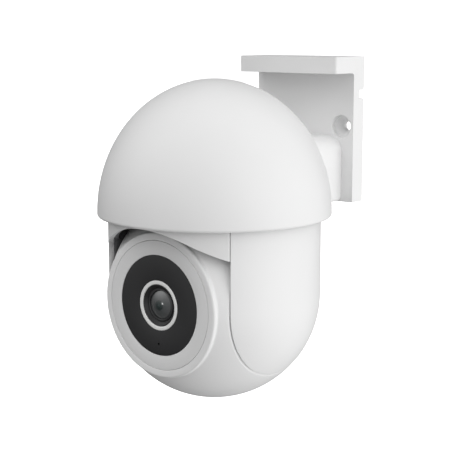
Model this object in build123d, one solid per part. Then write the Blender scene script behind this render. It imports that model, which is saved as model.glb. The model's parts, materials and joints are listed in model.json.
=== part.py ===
from build123d import *
import math
import os

# Outdoor pan-tilt camera on an L-shaped wall bracket. Millimetres, +Z up. The wall is the plane y = 0, and
# the camera hangs in front of it towards -Y. The origin lies on the wall, midway between the wall screw holes.
# The pieces are built about the pan axis, with z = 0 at the dome's rim, and are moved to the wall at the end.

# Dome
DOME_RADIUS = 52.0
DOME_SKIRT = 1.4  # upright part of the rim, below the elliptical crown
DOME_CROWN = 58.6  # height of the elliptical crown
DOME_WALL = 2.4
RIM_ROUND = 1.2

# Yoke and ball
DOME_OVERHANG = 4.7  # dome rim beyond the yoke
YOKE_WALL = 2.3
ARM_DEPTH = 12.2  # thickness of an arm on the tilt axis
ARM_GAP = 0.5  # arm to the flat side of the ball
BALL_RISE = 12.1  # crown of the ball above the dome's rim
BALL_WALL = 2.4
BALL_SEAM = 14.0  # split between the ball's two shells, behind the tilt axis
FRAME_PLATE = 2.5  # inner side plates of the yoke frame
HOOD_WALL = 2.0
BRIDGE_GAP = 1.5  # ball to bridge
BRIDGE_THICKNESS = 3.0
ARCH_CROWN = 0.9  # depth of the front arch below the rim, at its middle
ARCH_RADIUS = 48.0
ARCH_SLOPE = 0.49  # slope of the arch's straight flanks

# Face of the ball
COLLAR_INSET = 3.1  # collar inside the flat side of the ball
COLLAR_PROUD = 2.0  # collar above the sphere
COLLAR_WIDTH = 3.35
FACE_RING_WIDTH = 6.35
FACE_THICKNESS = 1.6
LIGHT_RING_RADIUS = 10.85
LIGHT_RING_WIDTH = 1.7
LENS_RADIUS = 6.5
MIC_DROP = 16.9  # microphone hole below the lens axis
MIC_HOLE = 0.55
LED_CIRCLE = 16.0
LED_RADIUS = 1.4
LED_HEIGHT = 1.8
IR_LED_ANGLES = (35, 70, 110, 145, 215, 325)
WHITE_LED_ANGLES = (0, 180)

# Bracket and neck
WALL_GAP = 14.8  # dome to the wall plate
PLATE_THICKNESS = 8.5
PLATE_HALF_WIDTH = 28.2
PLATE_BOTTOM = 0.4
BRACKET_TOP = 68.7
LEDGE_THICKNESS = 7.6
LEDGE_ROUND = 1.2
LEDGE_DEPTH = 23.15  # ledge from the wall to its front edge
HOLE_SPACING = 42.4
HOLE_RADIUS = 2.3
HOLE_HEIGHT = 36.0  # wall holes above the dome's rim
COUNTERBORE_RADIUS = 5.2
COUNTERBORE_DEPTH = 2.2
COUNTERSINK_DEPTH = 2.9
NECK_HALF_WIDTH = 21.8
NECK_TOP = 32.0
NECK_ROUND = 8.0
NECK_WALL = 2.4
INLET_RADIUS = 2.4

# Drives
GEAR_MODULE = 0.8
PAN_TEETH = 48
TILT_TEETH = 36
PINION_TEETH = 12
GEAR_WIDTH = 4.0
BACKLASH = 0.2
SPINDLE_RADIUS = 9.0
SPINDLE_BORE = 6.0
TRUNNION_RADIUS = 7.0
TRUNNION_BORE = 4.0
MOTOR_RADIUS = 10.0
MOTOR_LENGTH = 12.5
MOTOR_EAR_REACH = 13.5
MOTOR_SHAFT = 1.5

# Boards and small parts
BOARD_THICKNESS = 1.6
BOARD_POST_GAP = 2.2  # pan gear to the main board's posts
POST_RADIUS = 2.5
SCREW_RADIUS = 1.2
BOARD_EDGE = 3.0  # screw to the edge of a board
SENSOR_POST_ANGLE = 39.7
FILTER_TRAVEL = 8.0
BUTTON_TRAVEL = 0.4
CARD_TILT = -35.0  # memory card door, below the ball's rear

# Clearances
RUN_GAP = 0.05  # shaft in its bush, radial
FIT_GAP = 0.1  # piece laid into its seat
SHELL_GAP = 0.3  # cover round the frame
TURN_GAP = 0.6  # turning piece beside a fixed one

# Worked out from the driving dimensions
YOKE_RADIUS = DOME_RADIUS - DOME_OVERHANG
BALL_RADIUS = YOKE_RADIUS - FIT_GAP
TILT_DROP = BALL_RADIUS - BALL_RISE
ARM_PLANE = YOKE_RADIUS - ARM_DEPTH
BALL_HALF_WIDTH = ARM_PLANE - ARM_GAP
COLLAR_RADIUS = BALL_HALF_WIDTH - COLLAR_INSET
COLLAR_INNER = COLLAR_RADIUS - COLLAR_WIDTH
FACE_REACH = math.sqrt(BALL_RADIUS**2 - COLLAR_RADIUS**2) + COLLAR_PROUD
WINDOW_RADIUS = COLLAR_INNER - FACE_RING_WIDTH
BALL_INNER = BALL_RADIUS - BALL_WALL
BALL_INNER_HALF = BALL_HALF_WIDTH - BALL_WALL
FRAME_RADIUS = YOKE_RADIUS - YOKE_WALL - SHELL_GAP
BRIDGE_BOTTOM = BALL_RISE + BRIDGE_GAP
BRIDGE_TOP = BRIDGE_BOTTOM + BRIDGE_THICKNESS
FLANGE_THICKNESS = 1.4
BASE_BOTTOM = BRIDGE_TOP + FLANGE_THICKNESS + TURN_GAP
BASE_THICKNESS = 2.5
BASE_TOP = BASE_BOTTOM + BASE_THICKNESS
BUSH_FLANGE = 1.5
PAN_GEAR_BOTTOM = BASE_TOP + BUSH_FLANGE + FIT_GAP
PAN_GEAR_TOP = PAN_GEAR_BOTTOM + GEAR_WIDTH
PAN_MOTOR_FACE = PAN_GEAR_TOP + 0.9
MAIN_BOARD_Z = PAN_MOTOR_FACE + MOTOR_LENGTH + 2.5
PAN_CENTRES = GEAR_MODULE * (PAN_TEETH + PINION_TEETH) / 2
TILT_CENTRES = GEAR_MODULE * (TILT_TEETH + PINION_TEETH) / 2
WALL_Y = DOME_RADIUS + WALL_GAP + PLATE_THICKNESS
PLATE_FRONT = WALL_Y - PLATE_THICKNESS
TILT_CENTRE = Pos(0, 0, -TILT_DROP)
TO_WALL = Pos(0, -WALL_Y, -HOLE_HEIGHT)
FAR = 300.0

UP = (0, 0, 1)
DOWN = (0, 0, -1)
FRONT = (0, -1, 0)
REAR = (0, 1, 0)
RIGHT = (1, 0, 0)
LEFT = (-1, 0, 0)


def rod(start, direction, length, radius):
    """Round bar from a point along a direction."""
    bar = Cylinder(radius, length, align=(Align.CENTER, Align.CENTER, Align.MIN))
    return Plane(origin=start, z_dir=direction) * bar


def tube(start, direction, length, outer, inner):
    """Round tube from a point along a direction."""
    return rod(start, direction, length, outer) - rod(start, direction, length, inner)


def cone(start, direction, length, first, last):
    """Cone from radius first at a point to radius last."""
    body = Cone(first, last, length, align=(Align.CENTER, Align.CENTER, Align.MIN))
    return Plane(origin=start, z_dir=direction) * body


def block(low, high):
    """Box between two opposite corners."""
    size = [b - a for a, b in zip(low, high)]
    centre = [(a + b) / 2 for a, b in zip(low, high)]
    return Pos(*centre) * Box(*size)


def screw(seat, direction, length, radius=SCREW_RADIUS):
    """Pan-head screw: its head stands on the seat, its shank runs along the direction."""
    away = Vector(*direction) * -1
    head = rod(seat, away, radius * 1.1, radius * 1.85)
    recess = rod(Vector(*seat) + away * radius * 0.5, away, radius * 2, radius * 0.7)
    return head - recess + rod(seat, direction, length, radius)


def polar(radius, degrees):
    """Point of a circle, as its two coordinates."""
    turn = math.radians(degrees)
    return radius * math.cos(turn), radius * math.sin(turn)


def gear(teeth, width, bore, phase):
    """Spur gear with involute teeth, one of them centred on the phase angle. It stands on z = 0."""
    pitch = GEAR_MODULE * teeth / 2
    base = pitch * math.cos(math.radians(20))
    tip = pitch + 0.75 * GEAR_MODULE
    root = pitch - 1.1 * GEAR_MODULE

    def involute(radius):
        roll = math.sqrt(max((radius / base) ** 2 - 1, 0))
        return roll - math.atan(roll)

    half_tooth = math.pi / (2 * teeth) - BACKLASH / (2 * pitch) + involute(pitch)
    start = max(base, root)
    flank = [start + (tip - start) * k / 4 for k in range(5)]
    if start > root:
        flank.insert(0, root)
    points = []
    for tooth in range(teeth):
        middle = math.radians(phase) + 2 * math.pi * tooth / teeth
        rising = [(r, middle - half_tooth + involute(r)) for r in flank]
        falling = [(r, middle + half_tooth - involute(r)) for r in reversed(flank)]
        points += [(r * math.cos(a), r * math.sin(a)) for r, a in rising + falling]
    outline = make_face(Polyline(*points, close=True))
    return extrude(outline - Circle(bore), width)


def dome_solid(inset):
    """Dome body drawn in by a wall thickness, open end on z = 0."""
    radius = DOME_RADIUS - inset
    crown = DOME_CROWN - inset
    turns = [math.pi / 2 * k / 8 for k in range(9)]
    ellipse = [(radius * math.cos(t), DOME_SKIRT + crown * math.sin(t)) for t in turns]
    profile = make_face([
        Line((0, 0), (radius, 0)),
        Line((radius, 0), (radius, DOME_SKIRT)),
        Spline(*ellipse, tangents=[(0, 1), (-1, 0)]),
        Line((0, DOME_SKIRT + crown), (0, 0)),
    ])
    return revolve(Plane.XZ * profile, Axis.Z)


def dome_inner_radius(height):
    """Inner radius of the dome at a height above its rim."""
    rise = max(height - DOME_SKIRT, 0) / (DOME_CROWN - DOME_WALL)
    return (DOME_RADIUS - DOME_WALL) * math.sqrt(1 - rise**2)


def slab_ball(radius, half_width):
    """Sphere about the tilt centre with both sides cut flat."""
    return Sphere(radius) & Box(2 * half_width, FAR, FAR)


def capsule(radius, top):
    """Upright cylinder with a round lower end about the tilt axis, up to a height."""
    upright = rod((0, 0, -TILT_DROP), UP, TILT_DROP + top, radius)
    return upright + TILT_CENTRE * Sphere(radius)


def arch_prism(raise_by=0.0):
    """Prism along Y that fills the space above the arch between the arms."""
    turn = math.atan(ARCH_SLOPE)
    crown = raise_by - ARCH_CROWN
    knee_x = ARCH_RADIUS * math.sin(turn)
    knee_z = crown - ARCH_RADIUS * (1 - math.cos(turn))
    side_z = knee_z - (ARM_PLANE - knee_x) * ARCH_SLOPE
    top = BRIDGE_BOTTOM
    outline = make_face([
        Line((-ARM_PLANE, side_z), (-knee_x, knee_z)),
        ThreePointArc((-knee_x, knee_z), (0, crown), (knee_x, knee_z)),
        Line((knee_x, knee_z), (ARM_PLANE, side_z)),
        Line((ARM_PLANE, side_z), (ARM_PLANE, top)),
        Line((ARM_PLANE, top), (-ARM_PLANE, top)),
        Line((-ARM_PLANE, top), (-ARM_PLANE, side_z)),
    ])
    return extrude(Plane.XZ * outline, YOKE_RADIUS + 1, both=True)


# Fixed pieces: bracket, neck, dome and what the dome holds

NECK_SCREWS = [(x, 27.6) for x in (-11.0, 11.0)]
BRACKET_SCREWS = [(x, z) for x in (-14.0, 14.0) for z in (8.0, 24.0)]
INLET_Y = (DOME_RADIUS + PLATE_FRONT) / 2
NECK_SEAT = DOME_RADIUS - 14.0  # flat inside the dome that takes the neck screws
SEAL_HEIGHT = 1.0
SEAL_WIDTH = 1.2
SEAL_RADIUS = dome_inner_radius(BASE_TOP + SEAL_HEIGHT) - FIT_GAP
BASE_SCREW_CIRCLE = SEAL_RADIUS - 5.5
BASE_SCREW_ANGLES = (45, 135, 225, 315)
BOARD_POST_CIRCLE = GEAR_MODULE * (PAN_TEETH / 2 + 0.75) + BOARD_POST_GAP + POST_RADIUS
MAIN_BOARD_RADIUS = BOARD_POST_CIRCLE + BOARD_EDGE
BOARD_POST_ANGLES = (-15, 90, 195)
LEDGE_Z = BRACKET_TOP - LEDGE_THICKNESS
LEDGE_FRONT = WALL_Y - LEDGE_DEPTH
LEDGE_HOLE_Y = LEDGE_FRONT + 8.4
SPEAKER_POINT = polar(33.0, 25)
ANTENNA_ANGLE = 155
SPEAKER_RADIUS = 9.0


def screw_hole(front, direction, depth):
    """Counterbored and countersunk hole for a wall screw."""
    cone_start = Vector(*front) + Vector(*direction) * COUNTERBORE_DEPTH
    hole = rod(front, direction, depth, HOLE_RADIUS)
    hole += rod(front, direction, COUNTERBORE_DEPTH, COUNTERBORE_RADIUS)
    return hole + cone(cone_start, direction, COUNTERSINK_DEPTH, COUNTERBORE_RADIUS - 0.8, HOLE_RADIUS)


def wall_bracket():
    """L-shaped bracket with a wall plate, a ledge, and holes in both."""
    wide = PLATE_HALF_WIDTH
    body = block((-wide, PLATE_FRONT, PLATE_BOTTOM), (wide, WALL_Y, BRACKET_TOP))
    ledge = block((-wide, LEDGE_FRONT, LEDGE_Z), (wide, WALL_Y, BRACKET_TOP))
    ledge = fillet(ledge.edges().filter_by(Axis.Z).group_by(Axis.Y)[0], LEDGE_ROUND)
    body += ledge
    inner = body.edges().filter_by(Axis.X).filter_by_position(Axis.Y, PLATE_FRONT - 0.1, PLATE_FRONT + 0.1)
    body = fillet(inner.filter_by_position(Axis.Z, LEDGE_Z - 0.1, LEDGE_Z + 0.1), 1.5)
    for side in (-1, 1):
        x = side * HOLE_SPACING / 2
        body -= screw_hole((x, PLATE_FRONT, HOLE_HEIGHT), REAR, PLATE_THICKNESS)
        body -= screw_hole((x, LEDGE_HOLE_Y, LEDGE_Z), UP, LEDGE_THICKNESS)
        ends = sorted((side * (wide - 4.0), side * wide))
        body -= block((ends[0], WALL_Y - 3.7, 49.2), (ends[1], WALL_Y, 53.1))
    for x, z in BRACKET_SCREWS:
        body -= rod((x, WALL_Y, z), FRONT, PLATE_THICKNESS, SCREW_RADIUS + FIT_GAP)
        body -= rod((x, WALL_Y, z), FRONT, 3.0, 2 * SCREW_RADIUS)
    return body


def bracket_screws():
    """Four screws through the wall plate into the neck."""
    return [screw((x, WALL_Y - 3.0, z), FRONT, PLATE_THICKNESS + 4.0) for x, z in BRACKET_SCREWS]


def neck_block(inset):
    """Neck outline as a bar along Y, drawn in by a wall thickness."""
    wide = NECK_HALF_WIDTH - inset
    body = block((-wide, 20, PLATE_BOTTOM + inset), (wide, PLATE_FRONT - inset, NECK_TOP - inset))
    along = body.edges().filter_by(Axis.Y)
    body = fillet(along.group_by(Axis.Z)[-1], NECK_ROUND - inset)
    return fillet(body.edges().filter_by(Axis.Y).group_by(Axis.Z)[0], 2.6 - inset)


def neck_housing():
    """Hollow neck between the dome and the wall plate."""
    body = neck_block(0) - neck_block(NECK_WALL)
    for x, z in BRACKET_SCREWS:
        body += rod((x, PLATE_FRONT, z), FRONT, 9.0, POST_RADIUS)
    for x, z in NECK_SCREWS:
        body += rod((x, PLATE_FRONT - 14.0, z), FRONT, 20.0, POST_RADIUS + 0.4)
    body -= dome_solid(0)
    body -= rod((0, INLET_Y, 0), UP, 6.0, INLET_RADIUS + 1.6)
    for x, z in BRACKET_SCREWS:
        body -= rod((x, PLATE_FRONT, z), FRONT, 8.0, SCREW_RADIUS)
    for x, z in NECK_SCREWS:
        body -= rod((x, NECK_SEAT, z), REAR, 14.0, SCREW_RADIUS)
    return body


def cable_grommet():
    """Rubber ring of the cable inlet, in the neck's underside."""
    low = PLATE_BOTTOM
    body = rod((0, INLET_Y, low - 1.2), UP, 1.2, INLET_RADIUS + 3.0)
    body += rod((0, INLET_Y, low), UP, NECK_WALL, INLET_RADIUS + 1.6)
    body += rod((0, INLET_Y, low + NECK_WALL), UP, 1.2, INLET_RADIUS + 2.4)
    return body - rod((0, INLET_Y, low - 1.2), UP, NECK_WALL + 2.4, INLET_RADIUS)


def dome_cover():
    """Dome shell with its inner ledge, screw bosses and neck seat."""
    outer = dome_solid(0)
    outer = fillet(outer.edges().group_by(Axis.Z)[0], RIM_ROUND)
    inner = dome_solid(DOME_WALL)
    ledge = tube((0, 0, BASE_TOP + SEAL_HEIGHT), UP, 1.5, DOME_RADIUS, SEAL_RADIUS - SEAL_WIDTH - 0.3)
    features = ledge & inner
    for x, y in (polar(BASE_SCREW_CIRCLE, a) for a in BASE_SCREW_ANGLES):
        features += rod((x, y, BASE_TOP), UP, 17.0, 3.0) & inner
    features += block((-15, NECK_SEAT, BASE_TOP + 2.5), (15, DOME_RADIUS, BASE_TOP + 10.5)) & inner
    shell = outer - inner + features
    for x, y in (polar(BASE_SCREW_CIRCLE, a) for a in BASE_SCREW_ANGLES):
        shell -= rod((x, y, BASE_TOP), UP, 8.0, SCREW_RADIUS)
    for x, z in NECK_SCREWS:
        shell -= rod((x, NECK_SEAT, z), REAR, 20.0, SCREW_RADIUS + FIT_GAP)
    return shell - rod((0, NECK_SEAT, 26.0), REAR, 20.0, 4.0)


def dome_seal():
    """Rubber ring between the base plate and the dome's ledge."""
    return tube((0, 0, BASE_TOP), UP, SEAL_HEIGHT, SEAL_RADIUS, SEAL_RADIUS - SEAL_WIDTH)


def dome_base_plate():
    """Plate that closes the dome and carries the pan bush, the pan motor and the main board."""
    plate = rod((0, 0, BASE_BOTTOM), UP, BASE_THICKNESS, dome_inner_radius(BASE_TOP) - SHELL_GAP)
    for x, y in (polar(BOARD_POST_CIRCLE, a) for a in BOARD_POST_ANGLES):
        plate += rod((x, y, BASE_TOP), UP, MAIN_BOARD_Z - BASE_TOP, POST_RADIUS)
        plate -= rod((x, y, MAIN_BOARD_Z - 6.0), UP, 6.0, SCREW_RADIUS)
    for side in (-1, 1):
        foot = (side * MOTOR_EAR_REACH, -PAN_CENTRES, BASE_TOP)
        plate += rod(foot, UP, PAN_MOTOR_FACE - BASE_TOP, POST_RADIUS)
        plate -= rod(foot, UP, PAN_MOTOR_FACE - BASE_TOP, SCREW_RADIUS)
    for x, y in (polar(BASE_SCREW_CIRCLE, a) for a in BASE_SCREW_ANGLES):
        plate -= rod((x, y, BASE_BOTTOM), UP, BASE_THICKNESS, SCREW_RADIUS + FIT_GAP)
        plate -= rod((x, y, BASE_BOTTOM), UP, 1.4, 2 * SCREW_RADIUS)
    for hole in PolarLocations(SPEAKER_RADIUS * 0.55, 6):
        centre = Pos(SPEAKER_POINT[0], SPEAKER_POINT[1], BASE_BOTTOM)
        plate -= centre * hole * Cylinder(0.8, FAR / 50, align=(Align.CENTER,) * 3)
    return plate - rod((0, 0, BASE_BOTTOM), UP, BASE_THICKNESS, SPINDLE_RADIUS + 2.0)


def pan_bush():
    """Flanged bush that carries the spindle."""
    body = rod((0, 0, BASE_BOTTOM), UP, BASE_THICKNESS, SPINDLE_RADIUS + 2.0)
    body += rod((0, 0, BASE_TOP), UP, BUSH_FLANGE, SPINDLE_RADIUS + 4.0)
    return body - rod((0, 0, BASE_BOTTOM), UP, FAR / 10, SPINDLE_RADIUS + RUN_GAP)


def gear_motor(face, along, across, reach):
    """Geared stepper motor with two ears: its shaft leaves the face against the direction along."""
    body = rod(face, along, MOTOR_LENGTH, MOTOR_RADIUS)
    for side in (-1, 1):
        ear = Vector(*face) + Vector(*across) * side * MOTOR_EAR_REACH
        body += rod(ear, along, 1.0, POST_RADIUS + 0.5)
        link = Plane(origin=Vector(*face) + Vector(*across) * side * MOTOR_EAR_REACH / 2, z_dir=along,
                     x_dir=across)
        body += link * Box(MOTOR_EAR_REACH, 5.0, 1.0, align=(Align.CENTER, Align.CENTER, Align.MIN))
        body -= rod(ear, along, 1.0, SCREW_RADIUS + FIT_GAP)
    return body + rod(face, Vector(*along) * -1, reach, MOTOR_SHAFT)


def pan_motor():
    """Pan motor above the pan gear, shaft down."""
    return gear_motor((0, -PAN_CENTRES, PAN_MOTOR_FACE), UP, RIGHT, GEAR_WIDTH + 0.9)


def pan_pinion():
    """Pinion on the pan motor's shaft."""
    body = gear(PINION_TEETH, GEAR_WIDTH, MOTOR_SHAFT + RUN_GAP, 90 + 180 / PINION_TEETH)
    return Pos(0, -PAN_CENTRES, PAN_GEAR_BOTTOM) * body


def main_board():
    """Round main board with its processor, connectors and power parts."""
    board = rod((0, 0, MAIN_BOARD_Z), UP, BOARD_THICKNESS, MAIN_BOARD_RADIUS)
    for x, y in (polar(BOARD_POST_CIRCLE, a) for a in BOARD_POST_ANGLES):
        board -= rod((x, y, MAIN_BOARD_Z), UP, BOARD_THICKNESS, SCREW_RADIUS + FIT_GAP)
    top = MAIN_BOARD_Z + BOARD_THICKNESS
    board += block((-6, -6, top), (6, 6, top + 1.2))
    board += block((-18, -10, top), (-10, 8, top + 3.0))
    board += block((11, -8, top), (16, 6, top + 2.4))
    return board + rod((4, -14, top), UP, 4.0, 3.0)


def dome_screws():
    """Equal screws of the neck, the base plate, the pan motor and the main board."""
    board_top = MAIN_BOARD_Z + BOARD_THICKNESS
    solids = [screw((x, NECK_SEAT, z), REAR, 13.0) for x, z in NECK_SCREWS]
    for x, y in (polar(BASE_SCREW_CIRCLE, a) for a in BASE_SCREW_ANGLES):
        solids.append(screw((x, y, BASE_BOTTOM + 1.4), UP, 7.0))
    for x in (-MOTOR_EAR_REACH, MOTOR_EAR_REACH):
        solids.append(screw((x, -PAN_CENTRES, PAN_MOTOR_FACE + 1.0), DOWN, 5.0))
    for x, y in (polar(BOARD_POST_CIRCLE, a) for a in BOARD_POST_ANGLES):
        solids.append(screw((x, y, board_top), DOWN, 6.0))
    return solids


def heat_sink():
    """Finned heat sink on the processor."""
    low = MAIN_BOARD_Z + BOARD_THICKNESS + 1.2
    body = block((-7, -7, low), (7, 7, low + 3.2))
    for k in range(4):
        y = -4.6 + 3.1 * k
        body -= block((-7, y - 0.7, low + 1.0), (7, y + 0.7, low + 3.2))
    return body


def wifi_antenna():
    """Upright antenna board on a foot, at the side of the dome."""
    foot = block((31.5, -10, BASE_TOP), (35.5, 10, BASE_TOP + 2.0))
    board = block((33.0, -10, BASE_TOP + 2.0), (34.0, 10, BASE_TOP + 13.0))
    return Rot(0, 0, ANTENNA_ANGLE) * (foot + board)


def speaker():
    """Loudspeaker over the sound holes of the base plate."""
    x, y = SPEAKER_POINT
    body = rod((x, y, BASE_TOP), UP, 3.4, SPEAKER_RADIUS)
    body += rod((x, y, BASE_TOP + 3.4), UP, 2.0, SPEAKER_RADIUS * 0.6)
    return body - rod((x, y, BASE_TOP), UP, 1.2, SPEAKER_RADIUS - 1.2)


# Yoke: everything that pans

HOOD_RADIUS = FRAME_RADIUS
TRUNNION_FLANGE = TRUNNION_RADIUS + 5.0
FRAME_OUTSIDE = ARM_PLANE + FRAME_PLATE
TRUNNION_SCREW_CIRCLE = TRUNNION_RADIUS + 3.0
TILT_GEAR_X = BALL_INNER_HALF - 7.7
TRUNNION_STEP_X = BALL_INNER_HALF - 1.8
COVER_TOP = BRIDGE_BOTTOM
ARM_SCREW_Z = -8.0
ARM_SCREW_Y = 18.0


def yoke_frame():
    """Inner frame: a bridge over the ball, two side plates and a hood behind the skirts."""
    frame = rod((0, 0, BRIDGE_BOTTOM), UP, BRIDGE_THICKNESS, FRAME_RADIUS)
    inside = capsule(FRAME_RADIUS, BRIDGE_BOTTOM)
    for side in (-1, 1):
        ends = sorted((side * ARM_PLANE, side * FRAME_OUTSIDE))
        frame += inside & block((ends[0], -FAR, -FAR), (ends[1], FAR, FAR))
    ring = tube((0, 0, -TILT_DROP), UP, TILT_DROP + BRIDGE_BOTTOM, HOOD_RADIUS, HOOD_RADIUS - HOOD_WALL)
    frame += ring & arch_prism(0.8)
    for side in (-1, 1):
        axis_point = (side * ARM_PLANE, 0, -TILT_DROP)
        frame -= rod(axis_point, (side, 0, 0), FRAME_PLATE, TRUNNION_RADIUS)
        for y, z in (polar(TRUNNION_SCREW_CIRCLE, a) for a in (30, 150, 270)):
            start = (side * ARM_PLANE, y, z - TILT_DROP)
            frame -= rod(start, (side, 0, 0), FRAME_PLATE, SCREW_RADIUS * 0.8)
        for y in (-ARM_SCREW_Y, ARM_SCREW_Y):
            start = (side * ARM_PLANE, y, ARM_SCREW_Z)
            frame -= rod(start, (side, 0, 0), FRAME_PLATE, SCREW_RADIUS + FIT_GAP)
    return frame - rod((0, 0, BRIDGE_BOTTOM), UP, BRIDGE_THICKNESS, SPINDLE_BORE)


def pan_spindle():
    """Hollow spindle that stands on the bridge and turns in the bush."""
    top = PAN_GEAR_TOP + 1.5
    body = rod((0, 0, BRIDGE_TOP), UP, FLANGE_THICKNESS, SPINDLE_RADIUS + 6.0)
    body += rod((0, 0, BRIDGE_TOP), UP, top - BRIDGE_TOP, SPINDLE_RADIUS)
    body -= rod((0, 0, BRIDGE_TOP), UP, top, SPINDLE_BORE)
    return body - tube((0, 0, PAN_GEAR_TOP), UP, 0.8, SPINDLE_RADIUS, SPINDLE_RADIUS - 0.8)


def pan_gear():
    """Large gear fixed on the spindle."""
    return Pos(0, 0, PAN_GEAR_BOTTOM) * gear(PAN_TEETH, GEAR_WIDTH, SPINDLE_RADIUS, 270)


def pan_retainer():
    """Ring in the spindle's groove, above the gear."""
    return tube((0, 0, PAN_GEAR_TOP), UP, 0.8, SPINDLE_RADIUS + 1.4, SPINDLE_RADIUS - 0.8)


def skirt(side):
    """Curved skirt between the arms: side -1 is the front one, side 1 the rear one."""
    ring = tube((0, 0, -TILT_DROP), UP, TILT_DROP + COVER_TOP, YOKE_RADIUS, YOKE_RADIUS - YOKE_WALL)
    half = block((-FAR, 0, -FAR), (FAR, FAR, FAR))
    if side < 0:
        half = block((-FAR, -FAR, -FAR), (FAR, 0, FAR))
    return ring & arch_prism() & half


def arm_cover(side):
    """Shell over one arm, open towards the frame's side plate."""
    outer = capsule(YOKE_RADIUS, COVER_TOP)
    inner = capsule(YOKE_RADIUS - YOKE_WALL, COVER_TOP)
    ends = sorted((side * ARM_PLANE, side * FAR))
    cut = block((ends[0], -FAR, -FAR), (ends[1], FAR, FAR))
    shell = (outer - inner) & cut
    face = side * FRAME_OUTSIDE
    for y in (-ARM_SCREW_Y, ARM_SCREW_Y):
        shell += rod((face, y, ARM_SCREW_Z), (side, 0, 0), FAR, POST_RADIUS) & inner
        shell -= rod((face, y, ARM_SCREW_Z), (side, 0, 0), 3.0, SCREW_RADIUS)
    return shell


def arm_cover_screws():
    """Four screws from inside the yoke into the bosses of the arm covers."""
    solids = []
    for side in (-1, 1):
        for y in (-ARM_SCREW_Y, ARM_SCREW_Y):
            solids.append(rod((side * ARM_PLANE, y, ARM_SCREW_Z), (side, 0, 0), 5.2, SCREW_RADIUS))
    return solids


def trunnion(side):
    """Hollow flanged journal of the tilt axis. The right one runs on to carry the tilt gear."""
    out = (side, 0, 0)
    body = rod((side * FRAME_OUTSIDE, 0, -TILT_DROP), out, 1.8, TRUNNION_FLANGE)
    reach = FRAME_OUTSIDE - TRUNNION_STEP_X
    body += rod((side * TRUNNION_STEP_X, 0, -TILT_DROP), out, reach, TRUNNION_RADIUS)
    if side > 0:
        body += rod((TILT_GEAR_X, 0, -TILT_DROP), out, TRUNNION_STEP_X - TILT_GEAR_X, TRUNNION_BORE + 1.5)
    body -= rod((side * (TILT_GEAR_X - 1), 0, -TILT_DROP), out, FAR, TRUNNION_BORE)
    for y, z in (polar(TRUNNION_SCREW_CIRCLE, a) for a in (30, 150, 270)):
        body -= rod((side * FRAME_OUTSIDE, y, z - TILT_DROP), out, 1.8, SCREW_RADIUS * 0.8)
    return body


def trunnion_screws():
    """Three small screws in the flange of each trunnion."""
    solids = []
    for side in (-1, 1):
        for y, z in (polar(TRUNNION_SCREW_CIRCLE, a) for a in (30, 150, 270)):
            seat = (side * (FRAME_OUTSIDE + 1.8), y, z - TILT_DROP)
            solids.append(screw(seat, (-side, 0, 0), 4.0, SCREW_RADIUS * 0.8))
    return solids


def turn_to_x(body, x):
    """Stands a gear on the plane x, with its phase counted from +Y, on the tilt axis."""
    return Plane((x, 0, -TILT_DROP), x_dir=REAR, z_dir=RIGHT) * body


def tilt_gear():
    """Gear fixed to the right trunnion, inside the ball."""
    return turn_to_x(gear(TILT_TEETH, GEAR_WIDTH, TRUNNION_BORE + 1.5, 0), TILT_GEAR_X)


# Ball: everything that tilts, built about the tilt centre with the lens towards -Y

SHELL_SCREWS = [(x, z) for x in (-28.5, 28.5) for z in (-20.0, 20.0)]
OPENING_RADIUS = COLLAR_INNER - 1.5
SENSOR_POST_X, SENSOR_POST_Z = polar(OPENING_RADIUS, SENSOR_POST_ANGLE)
SENSOR_POSTS = [(x, z) for x in (-SENSOR_POST_X, SENSOR_POST_X) for z in (-SENSOR_POST_Z, SENSOR_POST_Z)]
WINDOW_BACK = -FACE_REACH + FACE_THICKNESS
LED_BOARD_Y = WINDOW_BACK + LED_HEIGHT + 2.4
LED_BOARD_RADIUS = WINDOW_RADIUS - 1.7
LED_POST_CIRCLE = WINDOW_RADIUS + 1.3
LED_POST_ANGLES = (90, 210, 330)
SENSOR_BOARD_Y = -13.0
HOLDER_FRONT = -25.0
FILTER_Y = -17.4
CARD_TURN = Rot(CARD_TILT, 0, 0)
CARD_WIDTH = 28.0
CARD_HEIGHT = 13.0
CARD_DEPTH = 1.3
CARD_FLOOR = BALL_RADIUS - CARD_DEPTH
CARD_ROOT = BALL_INNER - 15.0
BUTTON_X = 9.0
BUTTON_RADIUS = 1.2
MOTOR_FACE_X = TILT_GEAR_X - 1.2
BUSH_RADIUS = TRUNNION_RADIUS + 2.0


def disc(y, thickness, outer, inner=0.0):
    """Disc or ring facing the lens axis, from the plane y backwards."""
    body = rod((0, y, 0), REAR, thickness, outer)
    return body - rod((0, y, 0), REAR, thickness, inner) if inner else body


def seal_loop(grow):
    """Loop that follows the joint of the ball's shells."""
    outer = slab_ball(BALL_RADIUS - 0.8 + grow, BALL_HALF_WIDTH - 0.7 + grow)
    inner = slab_ball(BALL_RADIUS - 1.6 - grow, BALL_HALF_WIDTH - 1.5 - grow)
    band = block((-FAR, BALL_SEAM - 0.7 - grow, -FAR), (FAR, BALL_SEAM + 0.7 + grow, FAR))
    return (outer - inner) & band


def collared_ball():
    """Outer form of the ball: cut sphere, proud collar and the soft blend between them."""
    body = slab_ball(BALL_RADIUS, BALL_HALF_WIDTH) & block((-FAR, -FACE_REACH, -FAR), (FAR, FAR, FAR))
    body += rod((0, 0, 0), FRONT, FACE_REACH, COLLAR_RADIUS)
    rims = body.edges().filter_by(GeomType.CIRCLE)
    sides = [e for e in rims if abs(abs(e.center().X) - BALL_HALF_WIDTH) < 0.01]
    body = fillet(sides, 0.8)
    front = body.edges().filter_by(GeomType.CIRCLE).group_by(Axis.Y)[0]
    body = fillet(front, 0.9)
    joint = [e for e in body.edges().filter_by(GeomType.CIRCLE)
             if abs(e.radius - COLLAR_RADIUS) < 0.01 and e.center().Y > -FACE_REACH + 1]
    return fillet(joint, 1.6)


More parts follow.
